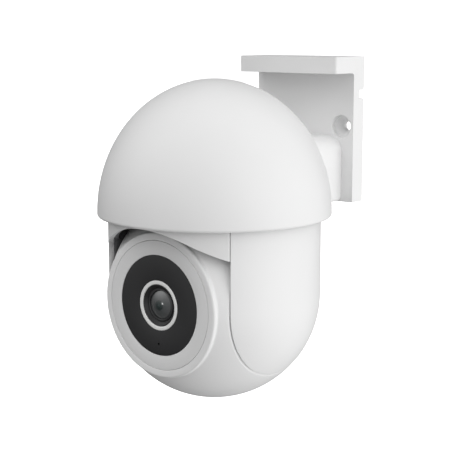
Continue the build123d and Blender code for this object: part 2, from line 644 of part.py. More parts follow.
def screw_boss(x, z, low, high):
    """Boss along Y with a rib to the side wall."""
    side = math.copysign(1, x)
    ends = sorted((x, side * (BALL_INNER_HALF + 0.5)))
    boss = rod((x, low, z), REAR, high - low, POST_RADIUS + 0.4)
    return boss + block((ends[0], low, z - 2.0), (ends[1], high, z + 2.0))


def ball_front_shell():
    """Front shell of the ball, with the collar, the side walls and the posts of the sensor board."""
    outer = collared_ball() & block((-FAR, -FAR, -FAR), (FAR, BALL_SEAM, FAR))
    inside = slab_ball(BALL_INNER, BALL_INNER_HALF) & block((-FAR, WINDOW_BACK + 2.0, -FAR), (FAR, FAR, FAR))
    length = SENSOR_BOARD_Y - WINDOW_BACK
    posts = Part() + [rod((x, SENSOR_BOARD_Y, z), FRONT, length, POST_RADIUS) for x, z in SENSOR_POSTS]
    posts += [screw_boss(x, z, 3.0, BALL_SEAM) for x, z in SHELL_SCREWS]
    shell = outer - inside + (posts & slab_ball(BALL_INNER + 0.5, BALL_INNER_HALF + 0.5))
    shell -= disc(-FACE_REACH, LED_BOARD_Y + FACE_REACH, OPENING_RADIUS)
    shell -= disc(-FACE_REACH, FACE_THICKNESS, COLLAR_INNER)
    for side in (-1, 1):
        shell -= rod((side * (BALL_INNER_HALF - 1), 0, 0), (side, 0, 0), FAR, BUSH_RADIUS)
    for x, z in SENSOR_POSTS:
        shell -= rod((x, SENSOR_BOARD_Y, z), FRONT, 8.0, SCREW_RADIUS)
    for x, z in SHELL_SCREWS:
        shell -= rod((x, BALL_SEAM, z), FRONT, 10.0, SCREW_RADIUS)
    return shell - seal_loop(0)


def card_prism(grow, low, high):
    """Rounded prism through the memory card door, between two distances from the centre."""
    outline = RectangleRounded(CARD_WIDTH + 2 * grow, CARD_HEIGHT + 2 * grow, 3.0)
    return CARD_TURN * Plane((0, low, 0), x_dir=RIGHT, z_dir=REAR) * extrude(outline, high - low)


def ball_rear_shell():
    """Rear shell of the ball, with the motor posts and the seat of the memory card door."""
    outer = collared_ball() & block((-FAR, BALL_SEAM, -FAR), (FAR, FAR, FAR))
    inside = slab_ball(BALL_INNER, BALL_INNER_HALF)
    posts = Part() + [screw_boss(x, z, BALL_SEAM, 34.0) for x, z in SHELL_SCREWS]
    for side in (-1, 1):
        start = (MOTOR_FACE_X, TILT_CENTRES, side * MOTOR_EAR_REACH)
        posts += rod(start, RIGHT, BALL_HALF_WIDTH - 1 - MOTOR_FACE_X, POST_RADIUS)
    for x in (-14.5, 14.5):
        rail = block((x - 1.4, 34.0, -2.6), (x + 1.4, BALL_INNER + 0.5, 1.6))
        posts += CARD_TURN * (rail - block((-14, 30, -1.2), (14, BALL_INNER - 1.5, 0)))
    shell = outer - inside + (posts & slab_ball(BALL_INNER + 0.5, BALL_INNER_HALF + 0.5))
    shell -= card_prism(FIT_GAP, CARD_ROOT, FAR) - slab_ball(CARD_FLOOR, FAR)
    shell -= CARD_TURN * block((-6.2, 40.0, -0.1), (6.2, FAR, 2.0))
    shell -= CARD_TURN * rod((BUTTON_X, 40.0, 1.2), REAR, FAR, BUTTON_RADIUS + RUN_GAP)
    for side in (-1, 1):
        shell -= CARD_TURN * rod((side * 11.5, 40.0, -3.4), REAR, FAR, SCREW_RADIUS * 0.7)
        start = (MOTOR_FACE_X, TILT_CENTRES, side * MOTOR_EAR_REACH)
        shell -= rod(start, RIGHT, 6.0, SCREW_RADIUS)
    for x, z in SHELL_SCREWS:
        shell -= rod((x, BALL_SEAM, z), REAR, FAR, SCREW_RADIUS + FIT_GAP)
        shell -= rod((x, 26.0, z), REAR, FAR, 2 * SCREW_RADIUS)
    return shell - seal_loop(0)


def face_ring():
    """Flat ring round the window, with the window's ledge and three posts behind it."""
    ring = disc(-FACE_REACH, FACE_THICKNESS, COLLAR_INNER - FIT_GAP)
    ring += disc(WINDOW_BACK, 0.8, OPENING_RADIUS - FIT_GAP)
    for x, z in (polar(LED_POST_CIRCLE, a) for a in LED_POST_ANGLES):
        ring += rod((x, WINDOW_BACK, z), REAR, LED_BOARD_Y - WINDOW_BACK, POST_RADIUS - 0.5)
    ring -= disc(-FACE_REACH, FACE_THICKNESS, WINDOW_RADIUS + FIT_GAP)
    for x, z in (polar(LED_POST_CIRCLE, a) for a in LED_POST_ANGLES):
        ring -= rod((x, WINDOW_BACK + 0.5, z), REAR, LED_BOARD_Y - WINDOW_BACK, SCREW_RADIUS * 0.7)
    return ring - disc(WINDOW_BACK, 1.0, LED_BOARD_RADIUS)


def front_window():
    """Dark window in front of the lamps, with the microphone hole."""
    body = disc(-FACE_REACH, FACE_THICKNESS, WINDOW_RADIUS, LIGHT_RING_RADIUS + RUN_GAP)
    return body - rod((0, -FACE_REACH, -MIC_DROP), REAR, FACE_THICKNESS, MIC_HOLE)


def light_ring():
    """Translucent status ring that reaches back to the lamp board."""
    inner = LIGHT_RING_RADIUS - LIGHT_RING_WIDTH
    return disc(-FACE_REACH, LED_BOARD_Y + FACE_REACH, LIGHT_RING_RADIUS, inner)


def lens_hood():
    """Dark cone between the light ring and the lens."""
    radius = LIGHT_RING_RADIUS - LIGHT_RING_WIDTH
    body = disc(-FACE_REACH + 0.3, 5.0, radius)
    body -= disc(-FACE_REACH, 6.0, LENS_RADIUS + FIT_GAP)
    return body - cone((0, -FACE_REACH, 0), REAR, 1.8, radius - 0.4, LENS_RADIUS + FIT_GAP)


def lens_barrel():
    """Threaded lens barrel."""
    body = disc(-FACE_REACH + 1.6, 8.0, LENS_RADIUS) + disc(-FACE_REACH + 9.6, 9.5, LENS_RADIUS - 0.5)
    body -= disc(-FACE_REACH + 1.6, 3.4, LENS_RADIUS - 1.0)
    return body - disc(-FACE_REACH + 5.0, 15.0, LENS_RADIUS - 2.5)


def lens_front_element():
    """Domed front glass of the lens."""
    radius = LENS_RADIUS - 1.0
    cap = Pos(0, -FACE_REACH + 2.1 + 11.0, 0) * Sphere(11.0)
    return cap & disc(-FACE_REACH, 5.0, radius)


def lens_rear_element():
    """Rear glass of the lens."""
    cap = Pos(0, -FACE_REACH + 18.5 - 9.0, 0) * Sphere(9.0)
    return cap & disc(-FACE_REACH + 15.0, 4.0, LENS_RADIUS - 2.5)


def lamp_board():
    """Ring-shaped lamp board with three ears."""
    board = disc(LED_BOARD_Y, 1.2, LED_BOARD_RADIUS)
    for radius in (LED_POST_CIRCLE, LED_POST_CIRCLE - 2.0):
        for x, z in (polar(radius, a) for a in LED_POST_ANGLES):
            board += rod((x, LED_BOARD_Y, z), REAR, 1.2, 2.6)
    for x, z in (polar(LED_POST_CIRCLE, a) for a in LED_POST_ANGLES):
        board -= rod((x, LED_BOARD_Y, z), REAR, 1.2, SCREW_RADIUS * 0.8)
    return board - disc(LED_BOARD_Y, 1.2, LIGHT_RING_RADIUS - LIGHT_RING_WIDTH + FIT_GAP)


def lamp_board_screws():
    """Three small screws that hold the lamp board."""
    points = (polar(LED_POST_CIRCLE, a) for a in LED_POST_ANGLES)
    return [screw((x, LED_BOARD_Y + 1.2, z), FRONT, 3.6, SCREW_RADIUS * 0.7) for x, z in points]


def lamps(angles):
    """Domed lamps on the lamp board."""
    solids = []
    for x, z in (polar(LED_CIRCLE, a) for a in angles):
        body = rod((x, LED_BOARD_Y, z), FRONT, LED_HEIGHT - 0.8, LED_RADIUS)
        tip = (x, LED_BOARD_Y - LED_HEIGHT + 0.8, z)
        solids.append(body + cone(tip, FRONT, 0.8, LED_RADIUS, LED_RADIUS * 0.5))
    return solids


def microphone():
    """Microphone can behind its hole."""
    return block((-1.9, LED_BOARD_Y - 1.1, -MIC_DROP - 1.4), (1.9, LED_BOARD_Y, -MIC_DROP + 1.4))


def lens_holder():
    """Holder of the lens in front of the sensor, with the filter's channel across it."""
    body = block((-14, HOLDER_FRONT, -8), (14, SENSOR_BOARD_Y, 8))
    body -= disc(HOLDER_FRONT, FILTER_Y - HOLDER_FRONT, LENS_RADIUS - 0.5)
    body -= block((-12.5, FILTER_Y - 0.3, -6), (12.5, SENSOR_BOARD_Y, 6))
    return body + block((-12.5, FILTER_Y + 1.3, -6), (-5.5, SENSOR_BOARD_Y, 6))


def filter_carriage():
    """Sliding frame that holds the two filters."""
    body = block((-12.2, FILTER_Y, -5.9), (4.2, FILTER_Y + 1.0, 5.9))
    for x in (0, -FILTER_TRAVEL):
        body -= block((x - 3.4, FILTER_Y, -3.4), (x + 3.4, FILTER_Y + 1.0, 3.4))
    return body


def filter_glasses():
    """Infrared filter and clear glass in the sliding frame."""
    front = FILTER_Y + 0.2
    back = FILTER_Y + 0.8
    return [block((x - 3.4, front, -3.4), (x + 3.4, back, 3.4)) for x in (0, -FILTER_TRAVEL)]


def filter_coil():
    """Coil that drives the sliding frame, on the side of the holder."""
    return block((-20, HOLDER_FRONT + 3, -5), (-14, SENSOR_BOARD_Y - 2, 5))


def sensor_board():
    """Camera board with the image sensor's connectors, on four posts."""
    wide = SENSOR_POST_X + BOARD_EDGE
    tall = SENSOR_POST_Z + BOARD_EDGE
    board = block((-wide, SENSOR_BOARD_Y, -tall), (wide, SENSOR_BOARD_Y + BOARD_THICKNESS, tall))
    back = SENSOR_BOARD_Y + BOARD_THICKNESS
    board += block((-8, back, -6), (6, back + 1.4, 8)) + block((-16, back, -18), (2, back + 3.0, -14))
    for x, z in SENSOR_POSTS:
        board -= rod((x, SENSOR_BOARD_Y, z), REAR, BOARD_THICKNESS, SCREW_RADIUS + FIT_GAP)
    return board


def image_sensor():
    """Image sensor at the focus of the lens."""
    return block((-4.5, SENSOR_BOARD_Y - 1.2, -4), (4.5, SENSOR_BOARD_Y, 4))


def tilt_bushes():
    """Two flanged bushes in the side walls of the ball."""
    solids = []
    for side in (-1, 1):
        out = (side, 0, 0)
        body = rod((side * BALL_INNER_HALF, 0, 0), out, BALL_WALL, BUSH_RADIUS)
        body += rod((side * (BALL_INNER_HALF - 1), 0, 0), out, 1.0, BUSH_RADIUS + 1.5)
        solids.append(body - rod((side * (BALL_INNER_HALF - 2), 0, 0), out, FAR, TRUNNION_RADIUS + RUN_GAP))
    return solids


def tilt_motor():
    """Tilt motor behind the gear, shaft towards the right arm."""
    return gear_motor((MOTOR_FACE_X, TILT_CENTRES, 0), LEFT, UP, GEAR_WIDTH + 1.2)


def ball_screws():
    """Equal screws of the ball's shells, the sensor board and the tilt motor."""
    solids = [screw((x, 26.0, z), FRONT, 20.0) for x, z in SHELL_SCREWS]
    solids += [screw((x, SENSOR_BOARD_Y + BOARD_THICKNESS, z), FRONT, 6.0) for x, z in SENSOR_POSTS]
    for z in (-MOTOR_EAR_REACH, MOTOR_EAR_REACH):
        solids.append(screw((MOTOR_FACE_X - 1.0, TILT_CENTRES, z), RIGHT, 5.0))
    return solids


def tilt_pinion():
    """Pinion on the tilt motor's shaft."""
    body = gear(PINION_TEETH, GEAR_WIDTH, MOTOR_SHAFT + RUN_GAP, 180 + 180 / PINION_TEETH)
    return Pos(0, TILT_CENTRES, TILT_DROP) * turn_to_x(body, TILT_GEAR_X)


def card_door():
    """Door over the memory card and the reset button, flush with the ball."""
    body = card_prism(0, CARD_ROOT, FAR) & slab_ball(BALL_RADIUS, BALL_HALF_WIDTH)
    body -= slab_ball(CARD_FLOOR + 0.5, FAR)
    for side in (-1, 1):
        body -= CARD_TURN * rod((side * 11.5, 40.0, -3.4), REAR, FAR, SCREW_RADIUS)
    return body


def card_door_seal():
    """Thin rubber gasket under the card door."""
    body = card_prism(-0.2, CARD_ROOT, FAR) & slab_ball(CARD_FLOOR + 0.5, FAR)
    body -= slab_ball(CARD_FLOOR, FAR)
    return body - card_prism(-2.0, CARD_ROOT, FAR)


def card_door_screws():
    """Two small screws of the card door, sunk flush."""
    solids = []
    for side in (-1, 1):
        body = CARD_TURN * rod((side * 11.5, 41.0, -3.4), REAR, CARD_FLOOR - 41.9, SCREW_RADIUS * 0.7)
        solids.append(body)
    return solids


def card_board():
    """Small board in the rails, behind the card door."""
    return CARD_TURN * block((-14 + FIT_GAP, 31.0, -1.2), (14 - FIT_GAP, BALL_INNER - 3.2, 0))


def card_socket():
    """Memory card socket, with the card's mouth towards the door."""
    body = block((-6.0, 32.0, 0), (5.4, BALL_INNER - 3.0, 1.9))
    return CARD_TURN * (body - block((-5.5, 36.0, 0.6), (4.9, FAR, 1.4)))


def reset_button():
    """Reset button beside the card socket."""
    length = CARD_FLOOR - BALL_INNER + 2.4
    return CARD_TURN * rod((BUTTON_X, BALL_INNER - 2.4, 1.2), REAR, length, BUTTON_RADIUS)


def reset_switch():
    """Switch body under the reset button, on the card board."""
    rear = BALL_INNER - 2.4 - BUTTON_TRAVEL - 0.2
    return CARD_TURN * block((BUTTON_X - 2, rear - 3.4, 0), (BUTTON_X + 2, rear, 2.6))


# Assembly

FIXED = {
    "wall_bracket": wall_bracket,
    "bracket_screws": bracket_screws,
    "neck_housing": neck_housing,
    "cable_grommet": cable_grommet,
    "dome_cover": dome_cover,
    "dome_seal": dome_seal,
    "dome_base_plate": dome_base_plate,
    "pan_bush": pan_bush,
    "pan_motor": pan_motor,
    "pan_pinion": pan_pinion,
    "main_board": main_board,
    "dome_screws": dome_screws,
    "heat_sink": heat_sink,
    "wifi_antenna": wifi_antenna,
    "speaker": speaker,
    "yoke_frame": yoke_frame,
    "pan_spindle": pan_spindle,
    "pan_gear": pan_gear,
    "pan_retainer": pan_retainer,
    "front_skirt": lambda: skirt(-1),
    "rear_skirt": lambda: skirt(1),
    "arm_cover_left": lambda: arm_cover(-1),
    "arm_cover_right": lambda: arm_cover(1),
    "arm_cover_screws": arm_cover_screws,
    "trunnion_left": lambda: trunnion(-1),
    "trunnion_right": lambda: trunnion(1),
    "trunnion_screws": trunnion_screws,
    "tilt_gear": tilt_gear,
}
TILTING = {
    "ball_front_shell": ball_front_shell,
    "ball_rear_shell": ball_rear_shell,
    "ball_seal": lambda: seal_loop(0),
    "ball_screws": ball_screws,
    "face_ring": face_ring,
    "front_window": front_window,
    "light_ring": light_ring,
    "lens_hood": lens_hood,
    "lens_barrel": lens_barrel,
    "lens_front_element": lens_front_element,
    "lens_rear_element": lens_rear_element,
    "lamp_board": lamp_board,
    "lamp_board_screws": lamp_board_screws,
    "infrared_lamps": lambda: lamps(IR_LED_ANGLES),
    "white_lamps": lambda: lamps(WHITE_LED_ANGLES),
    "microphone": microphone,
    "lens_holder": lens_holder,
    "filter_carriage": filter_carriage,
    "filter_glasses": filter_glasses,
    "filter_coil": filter_coil,
    "sensor_board": sensor_board,
    "image_sensor": image_sensor,
    "tilt_bushes": tilt_bushes,
    "tilt_motor": tilt_motor,
    "tilt_pinion": tilt_pinion,
    "card_door": card_door,
    "card_door_seal": card_door_seal,
    "card_door_screws": card_door_screws,
    "card_board": card_board,
    "card_socket": card_socket,
    "reset_switch": reset_switch,
    "reset_button": reset_button,
}


def placed(solids, place):
    """Moves one shape, or a group of separate solids, to its place on the wall."""
    if isinstance(solids, list):
        return Compound(children=[place * solid for solid in solids])
    return place * solids


os.makedirs("parts", exist_ok=True)
for name, make in FIXED.items():
    export_step(placed(make(), TO_WALL), f"parts/{name}.step")
for name, make in TILTING.items():
    export_step(placed(make(), TO_WALL * TILT_CENTRE), f"parts/{name}.step")
print("pan axis y", -WALL_Y, "tilt axis z", -HOLE_HEIGHT - TILT_DROP)
print("face reach", FACE_REACH, "tilt gear x", TILT_GEAR_X)
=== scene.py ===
"""Visual model of an outdoor pan-tilt camera: a dome on a wall bracket, a turning yoke and a tilting ball.

Lengths are metres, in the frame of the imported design. The wall is the plane y = 0 and the camera looks to -Y.
"""

import json
import logging
import math
from dataclasses import dataclass
from enum import Enum
from typing import Iterable

import bpy
from mathutils import Euler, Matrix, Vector


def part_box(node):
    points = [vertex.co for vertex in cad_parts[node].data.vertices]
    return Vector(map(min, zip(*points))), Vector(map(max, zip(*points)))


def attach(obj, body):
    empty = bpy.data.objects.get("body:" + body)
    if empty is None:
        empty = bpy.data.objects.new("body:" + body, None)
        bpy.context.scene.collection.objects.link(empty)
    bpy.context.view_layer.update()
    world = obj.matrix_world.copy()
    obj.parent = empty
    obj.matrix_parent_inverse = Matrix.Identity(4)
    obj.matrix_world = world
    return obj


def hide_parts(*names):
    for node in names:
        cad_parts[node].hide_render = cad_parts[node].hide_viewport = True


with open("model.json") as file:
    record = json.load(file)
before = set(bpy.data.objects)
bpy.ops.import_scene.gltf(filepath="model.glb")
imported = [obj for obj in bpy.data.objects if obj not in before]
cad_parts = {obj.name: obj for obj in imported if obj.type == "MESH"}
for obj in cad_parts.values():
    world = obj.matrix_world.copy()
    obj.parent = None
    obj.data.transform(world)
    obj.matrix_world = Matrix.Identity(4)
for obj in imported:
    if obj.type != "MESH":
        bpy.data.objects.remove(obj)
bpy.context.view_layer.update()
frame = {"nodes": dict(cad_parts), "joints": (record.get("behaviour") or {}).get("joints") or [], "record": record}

MM = 0.001
STEPS = 160  # facets of a full turn
TAU = 2 * math.pi
X_AXIS = Vector((1, 0, 0))
Y_AXIS = Vector((0, 1, 0))
Z_AXIS = Vector((0, 0, 1))
log = logging.getLogger("camera")


# --------------------------------------------------------------------------------------------------
# Measures taken from the frame


@dataclass(frozen=True)
class Layout:
    """Places and sizes that every piece shares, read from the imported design.

    Attributes:
        rim: Point on the pan axis at the height of the dome's rim.
        tilt: Centre of the ball, where the pan and tilt axes cross.
        dome_radius: Outer radius of the dome's rim.
        dome_top: Height of the dome's crown above its rim.
        yoke_radius: Outer radius of the yoke.
        arm_plane: Distance from the pan axis to the inner face of an arm.
        cover_top: Height of the arm covers' upper edge above the rim.
        ball_radius: Radius of the ball.
        ball_half: Half of the ball's width across its flat sides.
        face_y: Plane of the ball's face.
        ring_radius: Outer radius of the flat ring round the window.
        window_radius: Outer radius of the dark window.
    """

    rim: Vector
    tilt: Vector
    dome_radius: float
    dome_top: float
    yoke_radius: float
    arm_plane: float
    cover_top: float
    ball_radius: float
    ball_half: float
    face_y: float
    ring_radius: float
    window_radius: float

    @staticmethod
    def read() -> "Layout":
        """Reads the layout from the nodes' boxes and the joints.

        Returns:
            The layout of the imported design.
        """
        joints = {joint["name"]: joint for joint in frame["joints"]}
        dome_low, dome_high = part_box("dome_cover")
        arm_low, arm_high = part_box("arm_cover_right")
        ball_low, ball_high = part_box("ball_front_shell")
        ring_low, ring_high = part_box("face_ring")
        window_low, window_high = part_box("front_window")
        tilt = Vector(joints["tilt"]["pos_m"])
        return Layout(
            rim=Vector((tilt.x, tilt.y, dome_low[2])),
            tilt=tilt,
            dome_radius=(dome_high[0] - dome_low[0]) / 2,
            dome_top=dome_high[2] - dome_low[2],
            yoke_radius=arm_high[0],
            arm_plane=arm_low[0],
            cover_top=arm_high[2] - dome_low[2],
            ball_radius=(ball_high[2] - ball_low[2]) / 2,
            ball_half=ball_high[0],
            face_y=ring_low[1],
            ring_radius=(ring_high[0] - ring_low[0]) / 2,
            window_radius=(window_high[0] - window_low[0]) / 2,
        )


# --------------------------------------------------------------------------------------------------
# Shader expressions


class Value:
    """A shader socket, or a number, that Python operators turn into Math nodes."""

    def __init__(self, surface: "Surface", source: object) -> None:
        """Wraps a source.

        Args:
            surface: Material that new nodes join.
            source: Output socket or plain number.
        """
        self.surface = surface
        self.source = source

    def _math(self, operation: str, *values: object) -> "Value":
        """Adds a Math node.

        Args:
            operation: Operation of the node.
            values: Values, sockets or numbers in the order of its inputs.

        Returns:
            The node's result.
        """
        inputs = {index: value for index, value in enumerate(values)}
        return self.surface.node("ShaderNodeMath", {"operation": operation}, inputs)

    def __add__(self, other: object) -> "Value":
        """Sum."""
        return self._math("ADD", self, other)

    __radd__ = __add__

    def __sub__(self, other: object) -> "Value":
        """Difference."""
        return self._math("SUBTRACT", self, other)

    def __rsub__(self, other: object) -> "Value":
        """Difference with the number first."""
        return self._math("SUBTRACT", other, self)

    def __mul__(self, other: object) -> "Value":
        """Product."""
        return self._math("MULTIPLY", self, other)

    __rmul__ = __mul__

    def __truediv__(self, other: object) -> "Value":
        """Quotient."""
        return self._math("DIVIDE", self, other)

    def clamp(self, low: float, high: float) -> "Value":
        """Value held between two limits."""
        return self._math("MINIMUM", self._math("MAXIMUM", self, low), high)

    def power(self, exponent: float) -> "Value":
        """Value raised to a power."""
        return self._math("POWER", self, exponent)

    def above(self, threshold: float) -> "Value":
        """One where the value is above a threshold, else zero."""
        return self._math("GREATER_THAN", self, threshold)

    def sine(self) -> "Value":
        """Sine of the value."""
        return self._math("SINE", self)


class Surface:
    """A node material with a Principled shader, built from expressions."""

    def __init__(self, name: str) -> None:
        """Starts an empty material.

        Args:
            name: Name of the material.
        """
        self.material = bpy.data.materials.new(name)
        self.material.use_nodes = True
        self.tree = self.material.node_tree
        self.shader = self.tree.nodes["Principled BSDF"]

    def node(
        self, kind: str, settings: dict[str, object], inputs: dict[object, object], output: object = 0
    ) -> Value:
        """Adds any node.

        Args:
            kind: Node type.
            settings: Node settings, set first.
            inputs: Values or links by socket name or number.
            output: Name or number of the output that is used.

        Returns:
            The chosen output.
        """
        made = self.tree.nodes.new(kind)
        for key, setting in settings.items():
            if key == "stops":
                self._fill_ramp(made, setting)
            else:
                setattr(made, key, setting)
        for key, value in inputs.items():
            self.feed(made.inputs[key], value)
        return Value(self, made.outputs[output])

    @staticmethod
    def _fill_ramp(ramp: bpy.types.Node, stops: list[tuple[float, tuple[float, ...]]]) -> None:
        """Sets the stops of a colour ramp."""
        elements = ramp.color_ramp.elements
        while len(elements) < len(stops):
            elements.new(1.0)
        for element, (position, colour) in zip(elements, stops):
            element.position = position
            element.color = (*colour, 1.0)

    def feed(self, socket: bpy.types.NodeSocket, value: object) -> None:
        """Sets or links a socket.

        Args:
            socket: Input socket.
            value: Number, colour, vector or wrapped output.
        """
        if isinstance(value, Value):
            value = value.source
        if isinstance(value, bpy.types.NodeSocket):
            self.tree.links.new(value, socket)
        elif isinstance(value, tuple) and len(value) == 3 and socket.type == "RGBA":
            socket.default_value = (*value, 1.0)
        else:
            socket.default_value = value

    def place(self, scale: tuple[float, float, float] = (1, 1, 1)) -> Value:
        """Object coordinates, stretched by a scale along each axis."""
        coordinates = self.node("ShaderNodeTexCoord", {}, {}, "Object")
        return self.node("ShaderNodeMapping", {}, {"Vector": coordinates, "Scale": scale})

    def noise(self, size: float, detail: float = 3.0, scale: tuple[float, float, float] = (1, 1, 1)) -> Value:
        """Noise between 0 and 1, with features of a size in metres."""
        inputs = {"Vector": self.place(scale), "Scale": 1.0 / size, "Detail": detail, "Roughness": 0.55}
        return self.node("ShaderNodeTexNoise", {}, inputs, "Fac")

    def pits(self, size: float) -> Value:
        """Distance to the nearest cell centre, with cells of a size in metres."""
        inputs = {"Vector": self.place(), "Scale": 1.0 / size}
        return self.node("ShaderNodeTexVoronoi", {"feature": "SMOOTH_F1"}, inputs, "Distance")

    def blend(self, factor: object, first: object, second: object) -> Value:
        """Mixes two colours."""
        inputs = {0: factor, 6: first, 7: second}
        return self.node("ShaderNodeMix", {"data_type": "RGBA"}, inputs, 2)

    def bump(self, height: Value, depth: float, under: Value | None = None) -> Value:
        """Surface normal bent by a height, with a depth in metres."""
        inputs: dict[object, object] = {"Height": height, "Strength": 1.0, "Distance": depth}
        if under is not None:
            inputs["Normal"] = under
        return self.node("ShaderNodeBump", {}, inputs)

    def shade(self, **sockets: object) -> bpy.types.Material:
        """Feeds the Principled shader.

        Args:
            sockets: Values by socket name, with underscores for spaces.

        Returns:
            The finished material.
        """
        for key, value in sockets.items():
            self.feed(self.shader.inputs[key.replace("_", " ")], value)
        return self.material


# --------------------------------------------------------------------------------------------------
# Finishes


@dataclass(frozen=True)
class MouldedPlastic:
    """Fine-grained moulded plastic with a faint cloud of colour and gloss.

    Attributes:
        name: Name of the finish.
        colour: Base colour.
        roughness: Middle roughness.
        grain: Size of the moulded grain.
        depth: Depth of the grain.
        variation: Strength of the colour cloud.
        specular: Specular level.
        coat: Weight of a thin clear coat.
    """

    name: str
    colour: tuple[float, float, float]
    roughness: float = 0.42
    grain: float = 0.35 * MM
    depth: float = 0.006 * MM
    variation: float = 0.03
    specular: float = 0.5
    coat: float = 0.0

    def build(self) -> bpy.types.Material:
        """Builds the material."""
        surface = Surface(self.name)
        cloud = surface.noise(18 * MM, 4.0)
        fine = surface.noise(self.grain, 2.0)
        shade = 1.0 - self.variation
        darker = tuple(channel * shade for channel in self.colour)
        colour = surface.blend(cloud, darker, self.colour)
        rough = self.roughness + 0.08 * (cloud - 0.5) + 0.06 * (fine - 0.5)
        height = fine * 0.7 + surface.pits(self.grain * 1.7) * 0.3
        return surface.shade(
            Base_Color=colour, Roughness=rough.clamp(0.05, 1.0), Normal=surface.bump(height, self.depth),
            Specular_IOR_Level=self.specular, Coat_Weight=self.coat, Coat_Roughness=0.12,
        )


@dataclass(frozen=True)
class TintedWindow:
    """Dark window that lets infrared through: satin, with very fine flow marks."""

    name: str = "tinted_window"
    colour: tuple[float, float, float] = (0.017, 0.017, 0.018)

    def build(self) -> bpy.types.Material:
        """Builds the material."""
        surface = Surface(self.name)
        cloud = surface.noise(9 * MM, 3.0)
        fine = surface.noise(0.25 * MM, 1.0)
        lighter = tuple(channel * 1.25 for channel in self.colour)
        rough = 0.5 + 0.08 * (cloud - 0.5)
        return surface.shade(
            Base_Color=surface.blend(cloud, self.colour, lighter), Roughness=rough,
            Normal=surface.bump(fine, 0.002 * MM), Specular_IOR_Level=0.4,
        )


@dataclass(frozen=True)
class Metal:
    """Turned or drawn metal with fine lines along one axis."""

    name: str
    colour: tuple[float, float, float]
    roughness: float = 0.3

    def build(self) -> bpy.types.Material:
        """Builds the material."""
        surface = Surface(self.name)
        lines = surface.noise(0.4 * MM, 2.0, (1, 1, 12))
        cloud = surface.noise(3 * MM, 3.0)
        darker = tuple(channel * 0.8 for channel in self.colour)
        return surface.shade(
            Base_Color=surface.blend(cloud, darker, self.colour), Metallic=1.0,
            Roughness=(self.roughness + 0.2 * (lines - 0.5)).clamp(0.08, 1.0),
            Normal=surface.bump(lines, 0.004 * MM),
        )


@dataclass(frozen=True)
class CircuitBoard:
    """Solder mask with copper tracks that show as slightly lighter bands."""

    name: str = "circuit_board"
    colour: tuple[float, float, float] = (0.02, 0.12, 0.06)

    def build(self) -> bpy.types.Material:
        """Builds the material."""
        surface = Surface(self.name)
        inputs = {"Vector": surface.place(), "Scale": 1 / (2.2 * MM)}
        cells = surface.node("ShaderNodeTexVoronoi", {"distance": "CHEBYCHEV"}, inputs, "Distance")
        tracks = (cells * 9.0).sine().above(0.35)
        lighter = tuple(channel * 1.9 + 0.01 for channel in self.colour)
        return surface.shade(
            Base_Color=surface.blend(tracks, self.colour, lighter), Roughness=0.3 + 0.1 * tracks,
            Normal=surface.bump(tracks, 0.03 * MM),
        )


@dataclass(frozen=True)
class Rubber:
    """Soft matte rubber."""

    name: str = "seal_rubber"
    colour: tuple[float, float, float] = (0.09, 0.09, 0.095)

    def build(self) -> bpy.types.Material:
        """Builds the material."""
        surface = Surface(self.name)
        grain = surface.noise(0.3 * MM, 4.0)
        dusty = tuple(channel * 1.5 for channel in self.colour)
        return surface.shade(
            Base_Color=surface.blend(grain, self.colour, dusty), Roughness=0.7 + 0.15 * grain,
            Normal=surface.bump(grain, 0.02 * MM), Specular_IOR_Level=0.3,
        )


@dataclass(frozen=True)
class LensGlass:
    """Front glass of the lens, with the dark stop and the coated elements that show through it painted on as
    rings: the dark pupil is painted shade and its lighter teal middle a painted reflection.
    """

    name: str = "lens_glass"
    radius: float = 6.3 * MM
    # Stops by share of the glass radius: the dark pupil is painted shade, the lighter teal first stop a painted
    # reflection.
    stops: tuple[tuple[float, tuple[float, float, float]], ...] = (
        (0.0, (0.05, 0.075, 0.072)),
        (0.1, (0.012, 0.02, 0.019)),
        (0.24, (0.012, 0.024, 0.022)),
        (0.33, (0.03, 0.032, 0.032)),
        (0.4, (0.075, 0.077, 0.078)),
        (0.86, (0.105, 0.105, 0.107)),
        (0.93, (0.05, 0.05, 0.051)),
        (1.0, (0.02, 0.02, 0.02)),
    )

    def build(self) -> bpy.types.Material:
        """Builds the material from rings about the lens axis, which paint the shade and the reflection inside the
        lens.
        """
        surface = Surface(self.name)
        tilt = Layout.read().tilt
        flat = surface.place((1, 0, 1))
        centre = (tilt.x, 0.0, tilt.z)
        away = surface.node("ShaderNodeVectorMath", {"operation": "DISTANCE"}, {0: flat, 1: centre}, "Value")
        share = away / self.radius
        painted_pupil_rings = surface.node("ShaderNodeValToRGB", {"stops": self.stops}, {"Fac": share}, "Color")
        cloud = surface.noise(3 * MM, 2.0)
        tint = surface.blend(cloud * 0.35, painted_pupil_rings, (0.03, 0.05, 0.048))
        return surface.shade(
            Base_Color=tint, Roughness=0.16, Specular_IOR_Level=0.5, Coat_Weight=1.0, Coat_Roughness=0.03,
        )


